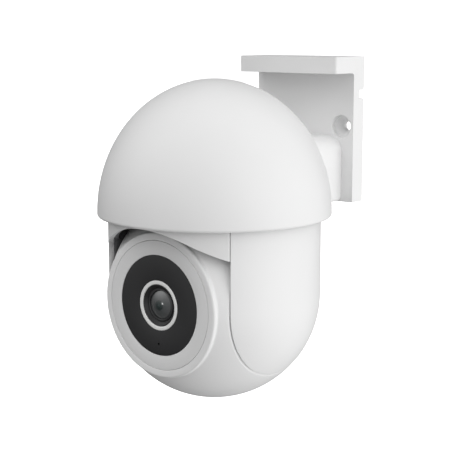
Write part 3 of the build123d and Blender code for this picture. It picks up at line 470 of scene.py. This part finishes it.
class Finish(Enum):
    """The finishes of the camera."""

    SHELL = MouldedPlastic("white_shell", (0.80, 0.80, 0.80), roughness=0.45)
    # FACE is a darker copy of the shell's white plastic: its lower tone is painted shade on the ring's front face.
    FACE = MouldedPlastic("face_ring_white_painted_shade", (0.74, 0.74, 0.74), roughness=0.5)
    FRAME = MouldedPlastic("grey_frame", (0.22, 0.22, 0.225), roughness=0.5)
    ACETAL = MouldedPlastic("gear_acetal", (0.82, 0.80, 0.74), roughness=0.35, variation=0.06)
    BLACK = MouldedPlastic("black_plastic", (0.012, 0.012, 0.013), roughness=0.4, grain=0.2 * MM)
    LENS_BLACK = MouldedPlastic("lens_black", (0.02, 0.02, 0.021), roughness=0.3, grain=0.15 * MM)
    CHIP = MouldedPlastic("chip", (0.03, 0.03, 0.034), roughness=0.45)
    LIGHT_GUIDE = MouldedPlastic("light_guide", (0.82, 0.82, 0.81), roughness=0.3, coat=0.3)
    LAMP = MouldedPlastic("lamp_lens", (0.75, 0.73, 0.6), roughness=0.12, coat=0.6)
    WINDOW = TintedWindow()
    STEEL = Metal("steel_screw", (0.62, 0.62, 0.63), 0.28)
    MOTOR = Metal("motor_steel", (0.52, 0.53, 0.54), 0.35)
    ALUMINIUM = Metal("heat_sink_metal", (0.6, 0.61, 0.62), 0.42)
    BOARD = CircuitBoard()
    RUBBER = Rubber()
    GLASS = LensGlass()


SLOT_FINISH = {
    "white_shell": Finish.SHELL,
    "grey_frame": Finish.FRAME,
    "gear_acetal": Finish.ACETAL,
    "steel_screw": Finish.STEEL,
    "motor_steel": Finish.MOTOR,
    "circuit_board": Finish.BOARD,
    "seal_rubber": Finish.RUBBER,
    "dark_window": Finish.WINDOW,
    "light_guide": Finish.LIGHT_GUIDE,
    "black_plastic": Finish.BLACK,
    "lens_glass": Finish.GLASS,
    "lamp_lens": Finish.LAMP,
    "chip": Finish.CHIP,
    "heat_sink_metal": Finish.ALUMINIUM,
}


class Paintbox:
    """Builds each finish once and hands it out."""

    def __init__(self) -> None:
        """Starts with no finish built."""
        self.built: dict[Finish, bpy.types.Material] = {}

    def get(self, finish: Finish) -> bpy.types.Material:
        """Returns the material of a finish, building it on first use."""
        if finish not in self.built:
            self.built[finish] = finish.value.build()
        return self.built[finish]

    def dress(self, piece: bpy.types.Object, finish: Finish) -> None:
        """Gives a piece one finish all over."""
        piece.data.materials.clear()
        piece.data.materials.append(self.get(finish))

    def dress_frame(self) -> None:
        """Gives every node of the frame the finish of its slot."""
        slots = {entry["node"]: entry["material_slot"] for entry in frame["record"]["subparts"]}
        for name, node in frame["nodes"].items():
            finish = SLOT_FINISH[slots[name]]
            if not node.data.materials:
                node.data.materials.append(self.get(finish))
            for slot in node.material_slots:
                slot.material = self.get(finish)


# --------------------------------------------------------------------------------------------------
# Modelling by hand


class Bench:
    """Starts, shapes and finishes pieces with Blender's own tools."""

    @staticmethod
    def clear() -> None:
        """Deselects every object."""
        if bpy.context.object and bpy.context.object.mode != "OBJECT":
            bpy.ops.object.mode_set(mode="OBJECT")
        bpy.ops.object.select_all(action="DESELECT")

    @staticmethod
    def pick(piece: bpy.types.Object) -> None:
        """Selects one piece and makes it active."""
        Bench.clear()
        piece.select_set(True)
        bpy.context.view_layer.objects.active = piece

    @staticmethod
    def settle(name: str) -> bpy.types.Object:
        """Names the active piece and moves its place into its mesh."""
        piece = bpy.context.object
        piece.name = name
        piece.data.name = name
        bpy.ops.object.transform_apply(location=True, rotation=True, scale=True)
        return piece

    @staticmethod
    def edit(select: str = "SELECT", mode: str = "VERT") -> None:
        """Enters edit mode with all or nothing selected."""
        bpy.ops.object.mode_set(mode="EDIT")
        bpy.ops.mesh.select_mode(type=mode)
        bpy.ops.mesh.select_all(action=select)

    @staticmethod
    def outline(name: str, points: Iterable[Vector], closed: bool) -> bpy.types.Object:
        """Draws an outline by extruding one point along it.

        Args:
            name: Name of the piece.
            points: Corners in order.
            closed: Whether the last corner joins the first.

        Returns:
            The outline, a mesh of edges.
        """
        corners = list(points)
        Bench.clear()
        bpy.ops.mesh.primitive_plane_add(size=MM, location=corners[0])
        piece = Bench.settle(name)
        Bench.edit()
        bpy.ops.mesh.merge(type="CENTER")
        for before, after in zip(corners, corners[1:]):
            bpy.ops.mesh.extrude_vertices_move(TRANSFORM_OT_translate={"value": after - before})
        if closed:
            bpy.ops.mesh.select_all(action="SELECT")
            bpy.ops.mesh.edge_face_add()
            bpy.ops.mesh.delete(type="ONLY_FACE")
        bpy.ops.object.mode_set(mode="OBJECT")
        return piece

    @staticmethod
    def turned(
        name: str, profile: list[tuple[float, float]], centre: Vector, axis: Vector, closed: bool = True,
        steps: int = STEPS,
    ) -> bpy.types.Object:
        """Spins a profile round an axis.

        Args:
            name: Name of the piece.
            profile: Corners as distance from the axis and height along it.
            centre: Point of the axis at height 0.
            axis: Direction of the axis.
            closed: Whether the profile is a closed loop.
            steps: Facets of the full turn.

        Returns:
            The turned piece, with its normals outwards.
        """
        away = X_AXIS if abs(axis.x) < 0.5 else Y_AXIS
        points = [centre + away * radius + axis * height for radius, height in profile]
        piece = Bench.outline(name, points, closed)
        Bench.edit()
        bpy.ops.mesh.spin(steps=steps, angle=TAU, center=centre, axis=axis, use_auto_merge=True)
        Bench.weld()
        bpy.ops.object.mode_set(mode="OBJECT")
        return piece

    @staticmethod
    def weld() -> None:
        """Merges doubles and turns all faces outwards, in edit mode."""
        bpy.ops.mesh.select_all(action="SELECT")
        bpy.ops.mesh.remove_doubles(threshold=0.004 * MM)
        bpy.ops.mesh.normals_make_consistent(inside=False)

    @staticmethod
    def prism(name: str, points: Iterable[Vector], travel: Vector) -> bpy.types.Object:
        """Fills an outline and extrudes it.

        Args:
            name: Name of the piece.
            points: Corners in order.
            travel: Extrusion.

        Returns:
            The closed prism.
        """
        piece = Bench.outline(name, points, True)
        Bench.edit()
        bpy.ops.mesh.edge_face_add()
        bpy.ops.mesh.extrude_region_move(TRANSFORM_OT_translate={"value": travel})
        Bench.weld()
        bpy.ops.object.mode_set(mode="OBJECT")
        return piece

    @staticmethod
    def halve(piece: bpy.types.Object, point: Vector, normal: Vector) -> None:
        """Cuts off what lies beyond a plane and closes the cut.

        Args:
            piece: Piece to cut.
            point: Point of the plane.
            normal: Direction of the part that goes.
        """
        Bench.pick(piece)
        Bench.edit()
        bpy.ops.mesh.bisect(plane_co=point, plane_no=normal, use_fill=True, clear_outer=True)
        bpy.ops.object.mode_set(mode="OBJECT")

    @staticmethod
    def combine(piece: bpy.types.Object, tool: bpy.types.Object, operation: str) -> None:
        """Joins, subtracts or intersects a tool and removes it.

        Args:
            piece: Piece that stays.
            tool: Piece that is used up.
            operation: UNION, DIFFERENCE or INTERSECT.
        """
        modifier = piece.modifiers.new("combine", "BOOLEAN")
        modifier.operation = operation
        modifier.solver = "EXACT"
        modifier.object = tool
        Bench.pick(piece)
        bpy.ops.object.modifier_apply(modifier=modifier.name)
        Bench.pick(tool)
        bpy.ops.object.delete()

    @staticmethod
    def soften(piece: bpy.types.Object, width: float, segments: int = 3, angle: float = 30.0) -> None:
        """Rounds the sharp edges and shades the rest smooth.

        Args:
            piece: Piece to finish.
            width: Width of the rounding.
            segments: Facets across the rounding.
            angle: Edges sharper than this many degrees are rounded.
        """
        Bench.pick(piece)
        if width > 0:
            modifier = piece.modifiers.new("rounding", "BEVEL")
            modifier.width = width
            modifier.segments = segments
            modifier.limit_method = "ANGLE"
            modifier.angle_limit = math.radians(angle)
            bpy.ops.object.modifier_apply(modifier=modifier.name)
        bpy.ops.object.shade_smooth_by_angle(angle=math.radians(angle))


def arc(
    centre: tuple[float, float], radius: float, start: float, end: float, count: int
) -> list[tuple[float, float]]:
    """Points of an arc.

    Args:
        centre: Centre of the arc.
        radius: Radius.
        start: First angle in degrees.
        end: Last angle in degrees.
        count: Number of points.

    Returns:
        The points, both ends included.
    """
    points = []
    for step in range(count):
        turn = math.radians(start + (end - start) * step / (count - 1))
        points.append((centre[0] + radius * math.cos(turn), centre[1] + radius * math.sin(turn)))
    return points


class Assembly:
    """A group of pieces that a maker builds and dresses."""

    def __init__(self, layout: Layout, paints: Paintbox) -> None:
        """Keeps the shared layout and finishes."""
        self.layout = layout
        self.paints = paints

    def place(self, piece: bpy.types.Object, body: str, slot: str, finish: Finish, *nodes: str) -> None:
        """Dresses a piece, rides it on a body and lets it stand for nodes.

        Args:
            piece: Finished piece.
            body: Body that it moves with.
            slot: Material slot of the record; not used.
            finish: Finish of the piece.
            nodes: Nodes of the frame that it replaces.
        """
        self.paints.dress(piece, finish)
        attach(piece, body)
        if nodes:
            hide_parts(*nodes)
        log.info("%s: %d faces on %s", piece.name, len(piece.data.polygons), body)


# --------------------------------------------------------------------------------------------------
# Dome, neck and bracket


@dataclass
class DomeSizes:
    """Sizes of the dome cover."""

    skirt: float = 1.4 * MM
    wall: float = 2.4 * MM
    rim_round: float = 1.2 * MM


class Dome(Assembly):
    """The fixed cover over the yoke."""

    sizes = DomeSizes()

    def build(self) -> None:
        """Turns the dome's wall from its profile, with a rounded rim."""
        place, sizes = self.layout, self.sizes
        profile = self.crown(place.dome_radius, place.dome_top - sizes.skirt)
        inner_height = place.dome_top - sizes.skirt - sizes.wall
        profile += list(reversed(self.crown(place.dome_radius - sizes.wall, inner_height)))
        inner = place.dome_radius - sizes.wall
        profile += [(inner, 0.4 * MM), (inner + 0.4 * MM, 0)]
        edge = sizes.rim_round
        profile += arc((place.dome_radius - edge, edge), edge, -90, 0, 7)
        dome = Bench.turned("dome_shell", profile, place.rim, Z_AXIS, steps=192)
        Bench.soften(dome, 0, angle=40)
        self.place(dome, "mount", "white_shell", Finish.SHELL, "dome_cover")

    def crown(self, radius: float, rise: float) -> list[tuple[float, float]]:
        """Profile of an elliptical crown from its skirt to the axis."""
        turns = [math.radians(90 * step / 28) for step in range(29)]
        return [(radius * math.cos(t), self.sizes.skirt + rise * math.sin(t)) for t in turns]


@dataclass
class BracketSizes:
    """Sizes of the wall bracket."""

    plate: float = 8.5 * MM
    ledge: float = 7.6 * MM
    ledge_round: float = 1.2 * MM
    inner_round: float = 1.5 * MM
    edge: float = 0.4 * MM
    spacing: float = 42.4 * MM
    ledge_hole: float = 8.4 * MM  # holes of the ledge behind its front edge
    bore: float = 2.3 * MM
    mouth: float = 5.2 * MM
    mouth_round: float = 0.7 * MM
    mouth_depth: float = 2.2 * MM
    sink: float = 2.9 * MM
    notch: tuple[float, float] = (13.2 * MM, 17.1 * MM)  # notch in each side, above the wall holes
    notch_depth: float = 3.7 * MM
    notch_width: float = 4.0 * MM


class Bracket(Assembly):
    """The L-shaped bracket on the wall, with soft edges and dished screw holes."""

    sizes = BracketSizes()

    def build(self) -> None:
        """Builds the bracket from its side outline, then cuts its holes and notches."""
        sizes = self.sizes
        low, high = (Vector(corner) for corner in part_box("wall_bracket"))
        front, shelf = high.y - sizes.plate, high.z - sizes.ledge
        corner = arc((front - sizes.inner_round, shelf - sizes.inner_round), sizes.inner_round, 0, 90, 7)
        outline = [(high.y, low.z), (front, low.z)] + corner
        outline += [(low.y, shelf), (low.y, high.z), (high.y, high.z)]
        points = [Vector((low.x, y, z)) for y, z in outline]
        bracket = Bench.prism("bracket", points, Vector((high.x - low.x, 0, 0)))
        self.round_ledge(bracket, low.y)
        for side in (-1, 1):
            x = side * sizes.spacing / 2
            self.hole(bracket, Vector((x, front, 0)), Y_AXIS)
            self.hole(bracket, Vector((x, low.y + sizes.ledge_hole, shelf)), Z_AXIS)
            self.notch(bracket, side * high.x, high.y)
        Bench.soften(bracket, sizes.edge, 3, 35)
        self.place(bracket, "mount", "white_shell", Finish.SHELL, "wall_bracket")

    def round_ledge(self, bracket: bpy.types.Object, front: float) -> None:
        """Rounds the two upright edges at the front of the ledge.

        Args:
            bracket: Bracket to shape.
            front: Front plane of the ledge.
        """
        Bench.pick(bracket)
        Bench.edit("DESELECT", "EDGE")
        bpy.ops.object.mode_set(mode="OBJECT")
        mesh = bracket.data
        for edge in mesh.edges:
            first, last = (mesh.vertices[index].co for index in edge.vertices)
            at_front = max(abs(first.y - front), abs(last.y - front)) < 0.01 * MM
            edge.select = at_front and abs(first.x - last.x) < 0.01 * MM
        bpy.ops.object.mode_set(mode="EDIT")
        bpy.ops.mesh.bevel(offset=self.sizes.ledge_round, segments=6, affect="EDGES")
        bpy.ops.object.mode_set(mode="OBJECT")

    def hole(self, bracket: bpy.types.Object, mouth: Vector, axis: Vector) -> None:
        """Cuts a dished and countersunk hole.

        Args:
            bracket: Bracket to cut.
            mouth: Centre of the mouth on the surface.
            axis: Direction into the bracket.
        """
        sizes = self.sizes
        flare = sizes.mouth_round
        profile = [(0, -1 * MM), (sizes.mouth + flare, -1 * MM), (sizes.mouth + flare, 0)]
        profile += arc((sizes.mouth + flare, flare), flare, -90, -180, 6)[1:]
        profile += [(sizes.mouth, sizes.mouth_depth), (sizes.mouth - 0.8 * MM, sizes.mouth_depth)]
        depth = sizes.mouth_depth + sizes.sink
        profile += [(sizes.bore, depth), (sizes.bore, 12 * MM), (0, 12 * MM)]
        cutter = Bench.turned("hole_cutter", profile, mouth, axis, False, 64)
        Bench.combine(bracket, cutter, "DIFFERENCE")

    def notch(self, bracket: bpy.types.Object, side: float, wall: float) -> None:
        """Cuts the notch of one side, at the wall.

        Args:
            bracket: Bracket to cut.
            side: Side plane.
            wall: Wall plane.
        """
        sizes = self.sizes
        inner = side - math.copysign(sizes.notch_width, side)
        outer = side + math.copysign(1 * MM, side)
        depth = wall - sizes.notch_depth
        corners = [(inner, depth), (outer, depth), (outer, wall + 1 * MM), (inner, wall + 1 * MM)]
        points = [Vector((x, y, sizes.notch[0])) for x, y in corners]
        cutter = Bench.prism("notch_cutter", points, Vector((0, 0, sizes.notch[1] - sizes.notch[0])))
        Bench.combine(bracket, cutter, "DIFFERENCE")


# --------------------------------------------------------------------------------------------------
# Yoke


@dataclass
class YokeSizes:
    """Sizes of the yoke's covers."""

    wall: float = 2.3 * MM
    lip: float = 0.55 * MM
    edge: float = 0.3 * MM
    seam: float = 0.2 * MM  # gap between a skirt and an arm cover
    arch_crown: float = 0.9 * MM
    arch_radius: float = 48.0 * MM
    arch_slope: float = 0.49


class Yoke(Assembly):
    """The covers that turn with the pan axis: two arms and two skirts."""

    sizes = YokeSizes()

    def build(self) -> None:
        """Builds both arms and both skirts."""
        for side, label in ((1, "right"), (-1, "left")):
            self.arm(side, label)
        for side, label in ((-1, "front"), (1, "rear")):
            self.skirt(side, label)

    def arm(self, side: int, label: str) -> None:
        """Builds one arm cover: a shell with a round lower end, cut flat on its inside.

        Args:
            side: 1 for the right arm, -1 for the left.
            label: Name of the side.
        """
        place, sizes = self.layout, self.sizes
        outer, inner = place.yoke_radius, place.yoke_radius - sizes.wall
        top = place.rim.z + place.cover_top - place.tilt.z
        profile = arc((0, 0), outer, -90, 0, 40) + [(outer, top), (inner, top)]
        profile += arc((0, 0), inner, 0, -90, 40)
        cover = Bench.turned(f"arm_shell_{label}", profile, place.tilt, Z_AXIS, steps=192)
        plane = place.arm_plane + sizes.seam
        Bench.halve(cover, Vector((side * plane, 0, 0)), Vector((-side, 0, 0)))
        Bench.soften(cover, sizes.edge)
        self.place(cover, "yoke", "white_shell", Finish.SHELL, f"arm_cover_{label}")

    def skirt(self, side: int, label: str) -> None:
        """Builds one skirt: a curved wall with an arch cut out of its lower edge.

        Args:
            side: -1 for the front skirt, 1 for the rear one.
            label: Name of the side.
        """
        place, sizes = self.layout, self.sizes
        outer, inner = place.yoke_radius, place.yoke_radius - sizes.wall
        low = place.tilt.z - place.rim.z
        profile = [(inner, low), (outer, low), (outer, place.cover_top), (inner, place.cover_top)]
        wall = Bench.turned(f"skirt_{label}", profile, place.rim, Z_AXIS, steps=192)
        cutter = Bench.prism("arch", self.arch(side), Y_AXIS * side * place.yoke_radius * 1.2)
        Bench.combine(wall, cutter, "INTERSECT")
        Bench.soften(wall, sizes.lip, 4, 35)
        self.place(wall, "yoke", "white_shell", Finish.SHELL, f"{label}_skirt")

    def arch(self, side: int) -> list[Vector]:
        """Corners of the space above the arch, on the plane through the pan axis."""
        place, sizes = self.layout, self.sizes
        turn = math.degrees(math.atan(sizes.arch_slope))
        half = place.arm_plane - sizes.seam
        knee = arc((0, -sizes.arch_crown - sizes.arch_radius), sizes.arch_radius, 90 + turn, 90 - turn, 25)
        drop = knee[-1][1] - (half - knee[-1][0]) * sizes.arch_slope
        corners = [(-half, drop), *knee, (half, drop), (half, place.cover_top), (-half, place.cover_top)]
        return [Vector((x, place.rim.y, place.rim.z + z)) for x, z in corners]


# --------------------------------------------------------------------------------------------------
# Ball, face and lens


@dataclass
class FaceSizes:
    """Sizes of the ball's face."""

    collar_inset: float = 3.1 * MM
    blend: float = 1.4 * MM
    collar_edge: float = 0.9 * MM
    groove: float = 0.1 * MM
    seat: float = 1.6 * MM
    flat_edge: float = 0.8 * MM
    ball_seam: float = 14.0 * MM
    window_drop: float = 0.12 * MM
    light_outer: float = 10.85 * MM
    light_inner: float = 9.15 * MM
    lens_radius: float = 7.1 * MM
    glass_radius: float = 6.3 * MM
    glass_curve: float = 14.0 * MM
    glass_vertex: float = 0.5 * MM
    mic_drop: float = 16.9 * MM
    mic_radius: float = 0.55 * MM


class Ball(Assembly):
    """The tilting ball with its face. Profiles hold distances from the lens axis and depths."""

    sizes = FaceSizes()

    def facing(
        self, name: str, profile: list[tuple[float, float]], closed: bool = True, steps: int = STEPS
    ) -> bpy.types.Object:
        """Turns a profile round the lens axis.

        Args:
            name: Name of the piece.
            profile: Distances from the axis and depths behind the face.
            closed: Whether the profile is a closed loop.
            steps: Facets of the full turn.

        Returns:
            The turned piece.
        """
        place = self.layout
        centre = Vector((place.tilt.x, place.face_y, place.tilt.z))
        return Bench.turned(name, profile, centre, Y_AXIS, closed, steps)

    def build(self) -> None:
        """Builds the front shell and everything on the face."""
        self.front_shell()
        self.face_ring()
        self.window()
        self.light_ring()
        self.hood()
        self.lens()

    def front_shell(self) -> None:
        """Builds the front shell with its proud collar and the soft blend round it."""
        place, sizes = self.layout, self.sizes
        reach = place.tilt.y - place.face_y
        ball, collar = place.ball_radius, place.ball_half - sizes.collar_inset
        edge, blend = sizes.collar_edge, sizes.blend
        ring = place.ring_radius + sizes.groove
        drop = math.sqrt((ball + blend) ** 2 - (collar + blend) ** 2)
        turn = math.degrees(math.atan2(drop, collar + blend))
        seam = math.degrees(math.asin(sizes.ball_seam / ball))
        floor = sizes.seat + 1.0 * MM
        profile = [(0, floor), (ring, floor), (ring, 0.15 * MM), (ring + 0.15 * MM, 0)]
        profile += arc((collar - edge, edge), edge, -90, 0, 8)
        profile += arc((collar + blend, reach - drop), blend, 180, 180 - turn, 9)
        profile += arc((0, reach), ball, -turn, seam, 56)[1:]
        profile += [(0, reach + sizes.ball_seam)]
        shell = self.facing("ball_front", profile, False, 192)
        for side in (-1, 1):
            Bench.halve(shell, Vector((side * place.ball_half, 0, 0)), Vector((side, 0, 0)))
        Bench.soften(shell, sizes.flat_edge / 2, 3, 40)
        self.place(shell, "ball", "white_shell", Finish.SHELL, "ball_front_shell")

    def band(
        self, name: str, inner: float, outer: float, front: float, back: float, edge: float
    ) -> bpy.types.Object:
        """Turns a flat ring with rounded front edges.

        Args:
            name: Name of the piece.
            inner: Inner radius.
            outer: Outer radius.
            front: Depth of the front.
            back: Depth of the back.
            edge: Radius of the front edges.

        Returns:
            The ring.
        """
        profile = [(inner, back)] + arc((inner + edge, front + edge), edge, 180, 270, 4)
        profile += arc((outer - edge, front + edge), edge, 270, 360, 4) + [(outer, back)]
        ring = self.facing(name, profile)
        Bench.soften(ring, 0)
        return ring

    def face_ring(self) -> None:
        """Builds the flat ring round the window."""
        place, sizes = self.layout, self.sizes
        hole = place.window_radius + 0.06 * MM
        ring = self.band("face_band", hole, place.ring_radius, 0, sizes.seat, 0.2 * MM)
        # The ring gets the darker copy of the shell white, whose lower tone is painted shade.
        self.place(ring, "ball", "white_shell", Finish.FACE, "face_ring")

    def window(self) -> None:
        """Builds the dark window with its microphone hole."""
        place, sizes = self.layout, self.sizes
        pane = self.band(
            "window_pane", sizes.light_outer + 0.04 * MM, place.window_radius, sizes.window_drop,
            sizes.seat, 0.1 * MM
        )
        hole = Vector((place.tilt.x, place.face_y + sizes.seat / 2, place.tilt.z - sizes.mic_drop))
        reach = sizes.mic_radius
        profile = [(0, -sizes.seat), (reach, -sizes.seat), (reach, sizes.seat), (0, sizes.seat)]
        cutter = Bench.turned("mic_hole", profile, hole, Y_AXIS, False, 24)
        Bench.combine(pane, cutter, "DIFFERENCE")
        Bench.soften(pane, 0)
        self.place(pane, "ball", "dark_window", Finish.WINDOW, "front_window")

    def light_ring(self) -> None:
        """Builds the milky ring of the status light."""
        sizes = self.sizes
        ring = self.band("status_ring", sizes.light_inner, sizes.light_outer, 0, 4.0 * MM, 0.3 * MM)
        self.place(ring, "ball", "light_guide", Finish.LIGHT_GUIDE, "light_ring")

    def hood(self) -> None:
        """Builds the dark hood with its fine steps down to the lens."""
        sizes = self.sizes
        outer, inner = sizes.light_inner - 0.05 * MM, sizes.lens_radius + 0.15 * MM
        steps = 5
        profile = [(outer, 4.5 * MM), (outer, 0.45 * MM), (outer - 0.35 * MM, 0.35 * MM)]
        for step in range(steps):
            radius = outer - 0.35 * MM - (outer - 0.35 * MM - inner) * (step + 1) / steps
            depth = 0.35 * MM + 0.28 * MM * (step + 1)
            profile += [(radius + 0.12 * MM, depth - 0.2 * MM), (radius, depth)]
        profile += [(inner, 4.5 * MM)]
        hood = self.facing("lens_surround", profile)
        Bench.soften(hood, 0, angle=20)
        self.place(hood, "ball", "black_plastic", Finish.BLACK, "lens_hood")

    def lens(self) -> None:
        """Builds the rim of the barrel and the domed front glass."""
        sizes = self.sizes
        outer, inner = sizes.lens_radius + 0.1 * MM, sizes.glass_radius
        front = 1.35 * MM
        profile = [(outer, 9 * MM)] + arc((outer - 0.2 * MM, front + 0.2 * MM), 0.2 * MM, 0, -90, 4)
        profile += [(inner + 0.25 * MM, front), (inner, front + 0.3 * MM), (inner, 9 * MM)]
        barrel = self.facing("lens_tube", profile)
        Bench.soften(barrel, 0)
        self.place(barrel, "ball", "black_plastic", Finish.LENS_BLACK, "lens_barrel")
        radius, curve = inner - 0.04 * MM, sizes.glass_curve
        turn = math.degrees(math.asin(radius / curve))
        profile = arc((0, sizes.glass_vertex + curve), curve, -90, -90 + turn, 18)
        back = profile[-1][1] + 1.0 * MM
        glass = self.facing("lens_dome", profile + [(radius, back), (0, back)], False)
        Bench.soften(glass, 0, angle=40)
        self.place(glass, "ball", "lens_glass", Finish.GLASS, "lens_front_element")


# --------------------------------------------------------------------------------------------------
# Camera, light and floor


@dataclass(frozen=True)
class Viewpoint:
    """Where the viewer stands, about a point on the pan axis just below the dome's rim."""

    distance: float = 536.16 * MM
    azimuth: float = 40.47
    elevation: float = 9.21
    yaw: float = -0.5
    pitch: float = 9.2
    drop: float = 5.0 * MM
    lens: float = 96.247
    sensor: float = 36.0

    def build(self, layout: Layout) -> None:
        """Adds the camera and makes it the scene's camera."""
        azimuth, elevation = math.radians(self.azimuth), math.radians(self.elevation)
        away = Vector((
            math.sin(azimuth) * math.cos(elevation),
            -math.cos(azimuth) * math.cos(elevation),
            math.sin(elevation),
        ))
        data = bpy.data.cameras.new("viewer")
        data.lens = self.lens
        data.sensor_width = self.sensor
        data.clip_start = 0.01
        camera = bpy.data.objects.new("viewer", data)
        camera.location = layout.rim + away * self.distance - Z_AXIS * self.drop
        turn = Euler((math.radians(90 - self.pitch), 0, math.radians(self.azimuth + self.yaw)), "XYZ")
        camera.rotation_euler = turn
        bpy.context.scene.collection.objects.link(camera)
        bpy.context.scene.camera = camera


@dataclass(frozen=True)
class Lamp:
    """One soft area light that points at the camera body.

    Attributes:
        name: Name of the light.
        away: Place of the light from the ball's centre.
        size: Width of its square.
        power: Power in watts.
    """

    name: str
    away: tuple[float, float, float]
    size: float
    power: float

    def build(self, target: Vector) -> None:
        """Adds the light, turned to the target."""
        data = bpy.data.lights.new(self.name, "AREA")
        data.shape = "SQUARE"
        data.size = self.size
        data.energy = self.power
        light = bpy.data.objects.new(self.name, data)
        light.location = target + Vector(self.away)
        light.rotation_euler = (-Vector(self.away)).to_track_quat("-Z", "Y").to_euler()
        bpy.context.scene.collection.objects.link(light)


@dataclass(frozen=True)
class Glow:
    """One broad, soft part of the surround's light.

    Attributes:
        away: Direction that the light comes from, of any length.
        strength: Brightness at its middle.
    """

    away: tuple[float, float, float]
    strength: float


class Studio:
    """Soft light, a pale floor and a white surround."""

    GLOWS = (
        Glow((-1, -1, 1), 2.0),
        Glow((0, -1, 0), 0.3),
        Glow((0, 0, -1), 0.7),
        Glow((0, 0, 1), 0.9),
        Glow((1, -1, 1), 0.9),
        Glow((1, 0, 0), 2.3),
        Glow((1, 1, -1), 1.4),
        Glow((1, 1, 1), 0.9),
    )
    GLOW_FOCUS = 6.0
    BACKDROP = 1.2
    LENS_GLINT = Lamp("lens_glint", (-0.53, -1.08, -0.13), 0.1, 0.3)
    FLOOR_DROP = 0.25
    FLOOR_SIZE = 14.0

    def build(self, layout: Layout) -> None:
        """Adds the lights, the surround and the floor."""
        self.LENS_GLINT.build(layout.tilt)
        self.surround()
        self.floor(layout)
        bpy.context.scene.view_settings.view_transform = "Standard"

    def surround(self) -> None:
        """Lights the scene from all round, and shows plain white behind the object."""
        world = bpy.data.worlds.new("surround")
        world.use_nodes = True
        bpy.context.scene.world = world
        tree = world.node_tree
        background = tree.nodes["Background"]
        background.inputs["Color"].default_value = (1, 1, 1, 1)
        tree.links.new(self.glow_strength(tree), background.inputs["Strength"])
        backdrop = tree.nodes.new("ShaderNodeBackground")
        backdrop.inputs["Color"].default_value = (1, 1, 1, 1)
        backdrop.inputs["Strength"].default_value = self.BACKDROP
        path = tree.nodes.new("ShaderNodeLightPath")
        mix = tree.nodes.new("ShaderNodeMixShader")
        tree.links.new(path.outputs["Is Camera Ray"], mix.inputs[0])
        tree.links.new(background.outputs[0], mix.inputs[1])
        tree.links.new(backdrop.outputs[0], mix.inputs[2])
        tree.links.new(mix.outputs[0], tree.nodes["World Output"].inputs[0])

    def glow_strength(self, tree: bpy.types.NodeTree) -> bpy.types.NodeSocket:
        """Adds up the glows for the direction that a ray takes.

        Args:
            tree: The world's nodes.

        Returns:
            The socket that holds the brightness.
        """

        def maths(operation: str, *values: bpy.types.NodeSocket | float) -> bpy.types.NodeSocket:
            """Adds one Math node.

            Args:
                operation: What the node does.
                values: Sockets or numbers that go in.

            Returns:
                The node's output.
            """
            node = tree.nodes.new("ShaderNodeMath")
            node.operation = operation
            for socket, value in zip(node.inputs, values):
                if isinstance(value, bpy.types.NodeSocket):
                    tree.links.new(value, socket)
                else:
                    socket.default_value = value
            return node.outputs[0]

        direction = tree.nodes.new("ShaderNodeTexCoord").outputs["Generated"]
        total = None
        for glow in self.GLOWS:
            dot = tree.nodes.new("ShaderNodeVectorMath")
            dot.operation = "DOT_PRODUCT"
            tree.links.new(direction, dot.inputs[0])
            dot.inputs[1].default_value = Vector(glow.away).normalized()
            facing = maths("MAXIMUM", dot.outputs["Value"], 0.0)
            light = maths("MULTIPLY", maths("POWER", facing, self.GLOW_FOCUS), glow.strength)
            total = light if total is None else maths("ADD", total, light)
        return total

    def floor(self, layout: Layout) -> None:
        """Lays a wide pale floor well below the object, which hangs on a wall."""
        Bench.clear()
        height = layout.tilt.z - layout.ball_radius - self.FLOOR_DROP
        bpy.ops.mesh.primitive_plane_add(size=self.FLOOR_SIZE, location=(0, 0, height))
        floor = Bench.settle("studio_floor")
        surface = Surface("pale_floor")
        cloud = surface.noise(0.4)
        material = surface.shade(
            Base_Color=surface.blend(cloud, (0.9, 0.9, 0.9), (0.93, 0.93, 0.93)), Roughness=0.9,
            Emission_Color=(1.0, 1.0, 1.0), Emission_Strength=1.0,
        )
        floor.data.materials.append(material)
        floor.visible_diffuse = False
        floor.visible_glossy = False
        floor.visible_shadow = False


def main() -> None:
    """Builds the camera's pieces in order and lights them."""
    logging.basicConfig(level=logging.INFO, format="%(name)s: %(message)s")
    layout = Layout.read()
    Viewpoint().build(layout)
    paints = Paintbox()
    paints.dress_frame()
    for assembly in (Dome, Bracket, Yoke, Ball):
        assembly(layout, paints).build()
    Studio().build(layout)


if __name__ == "__main__":
    main()
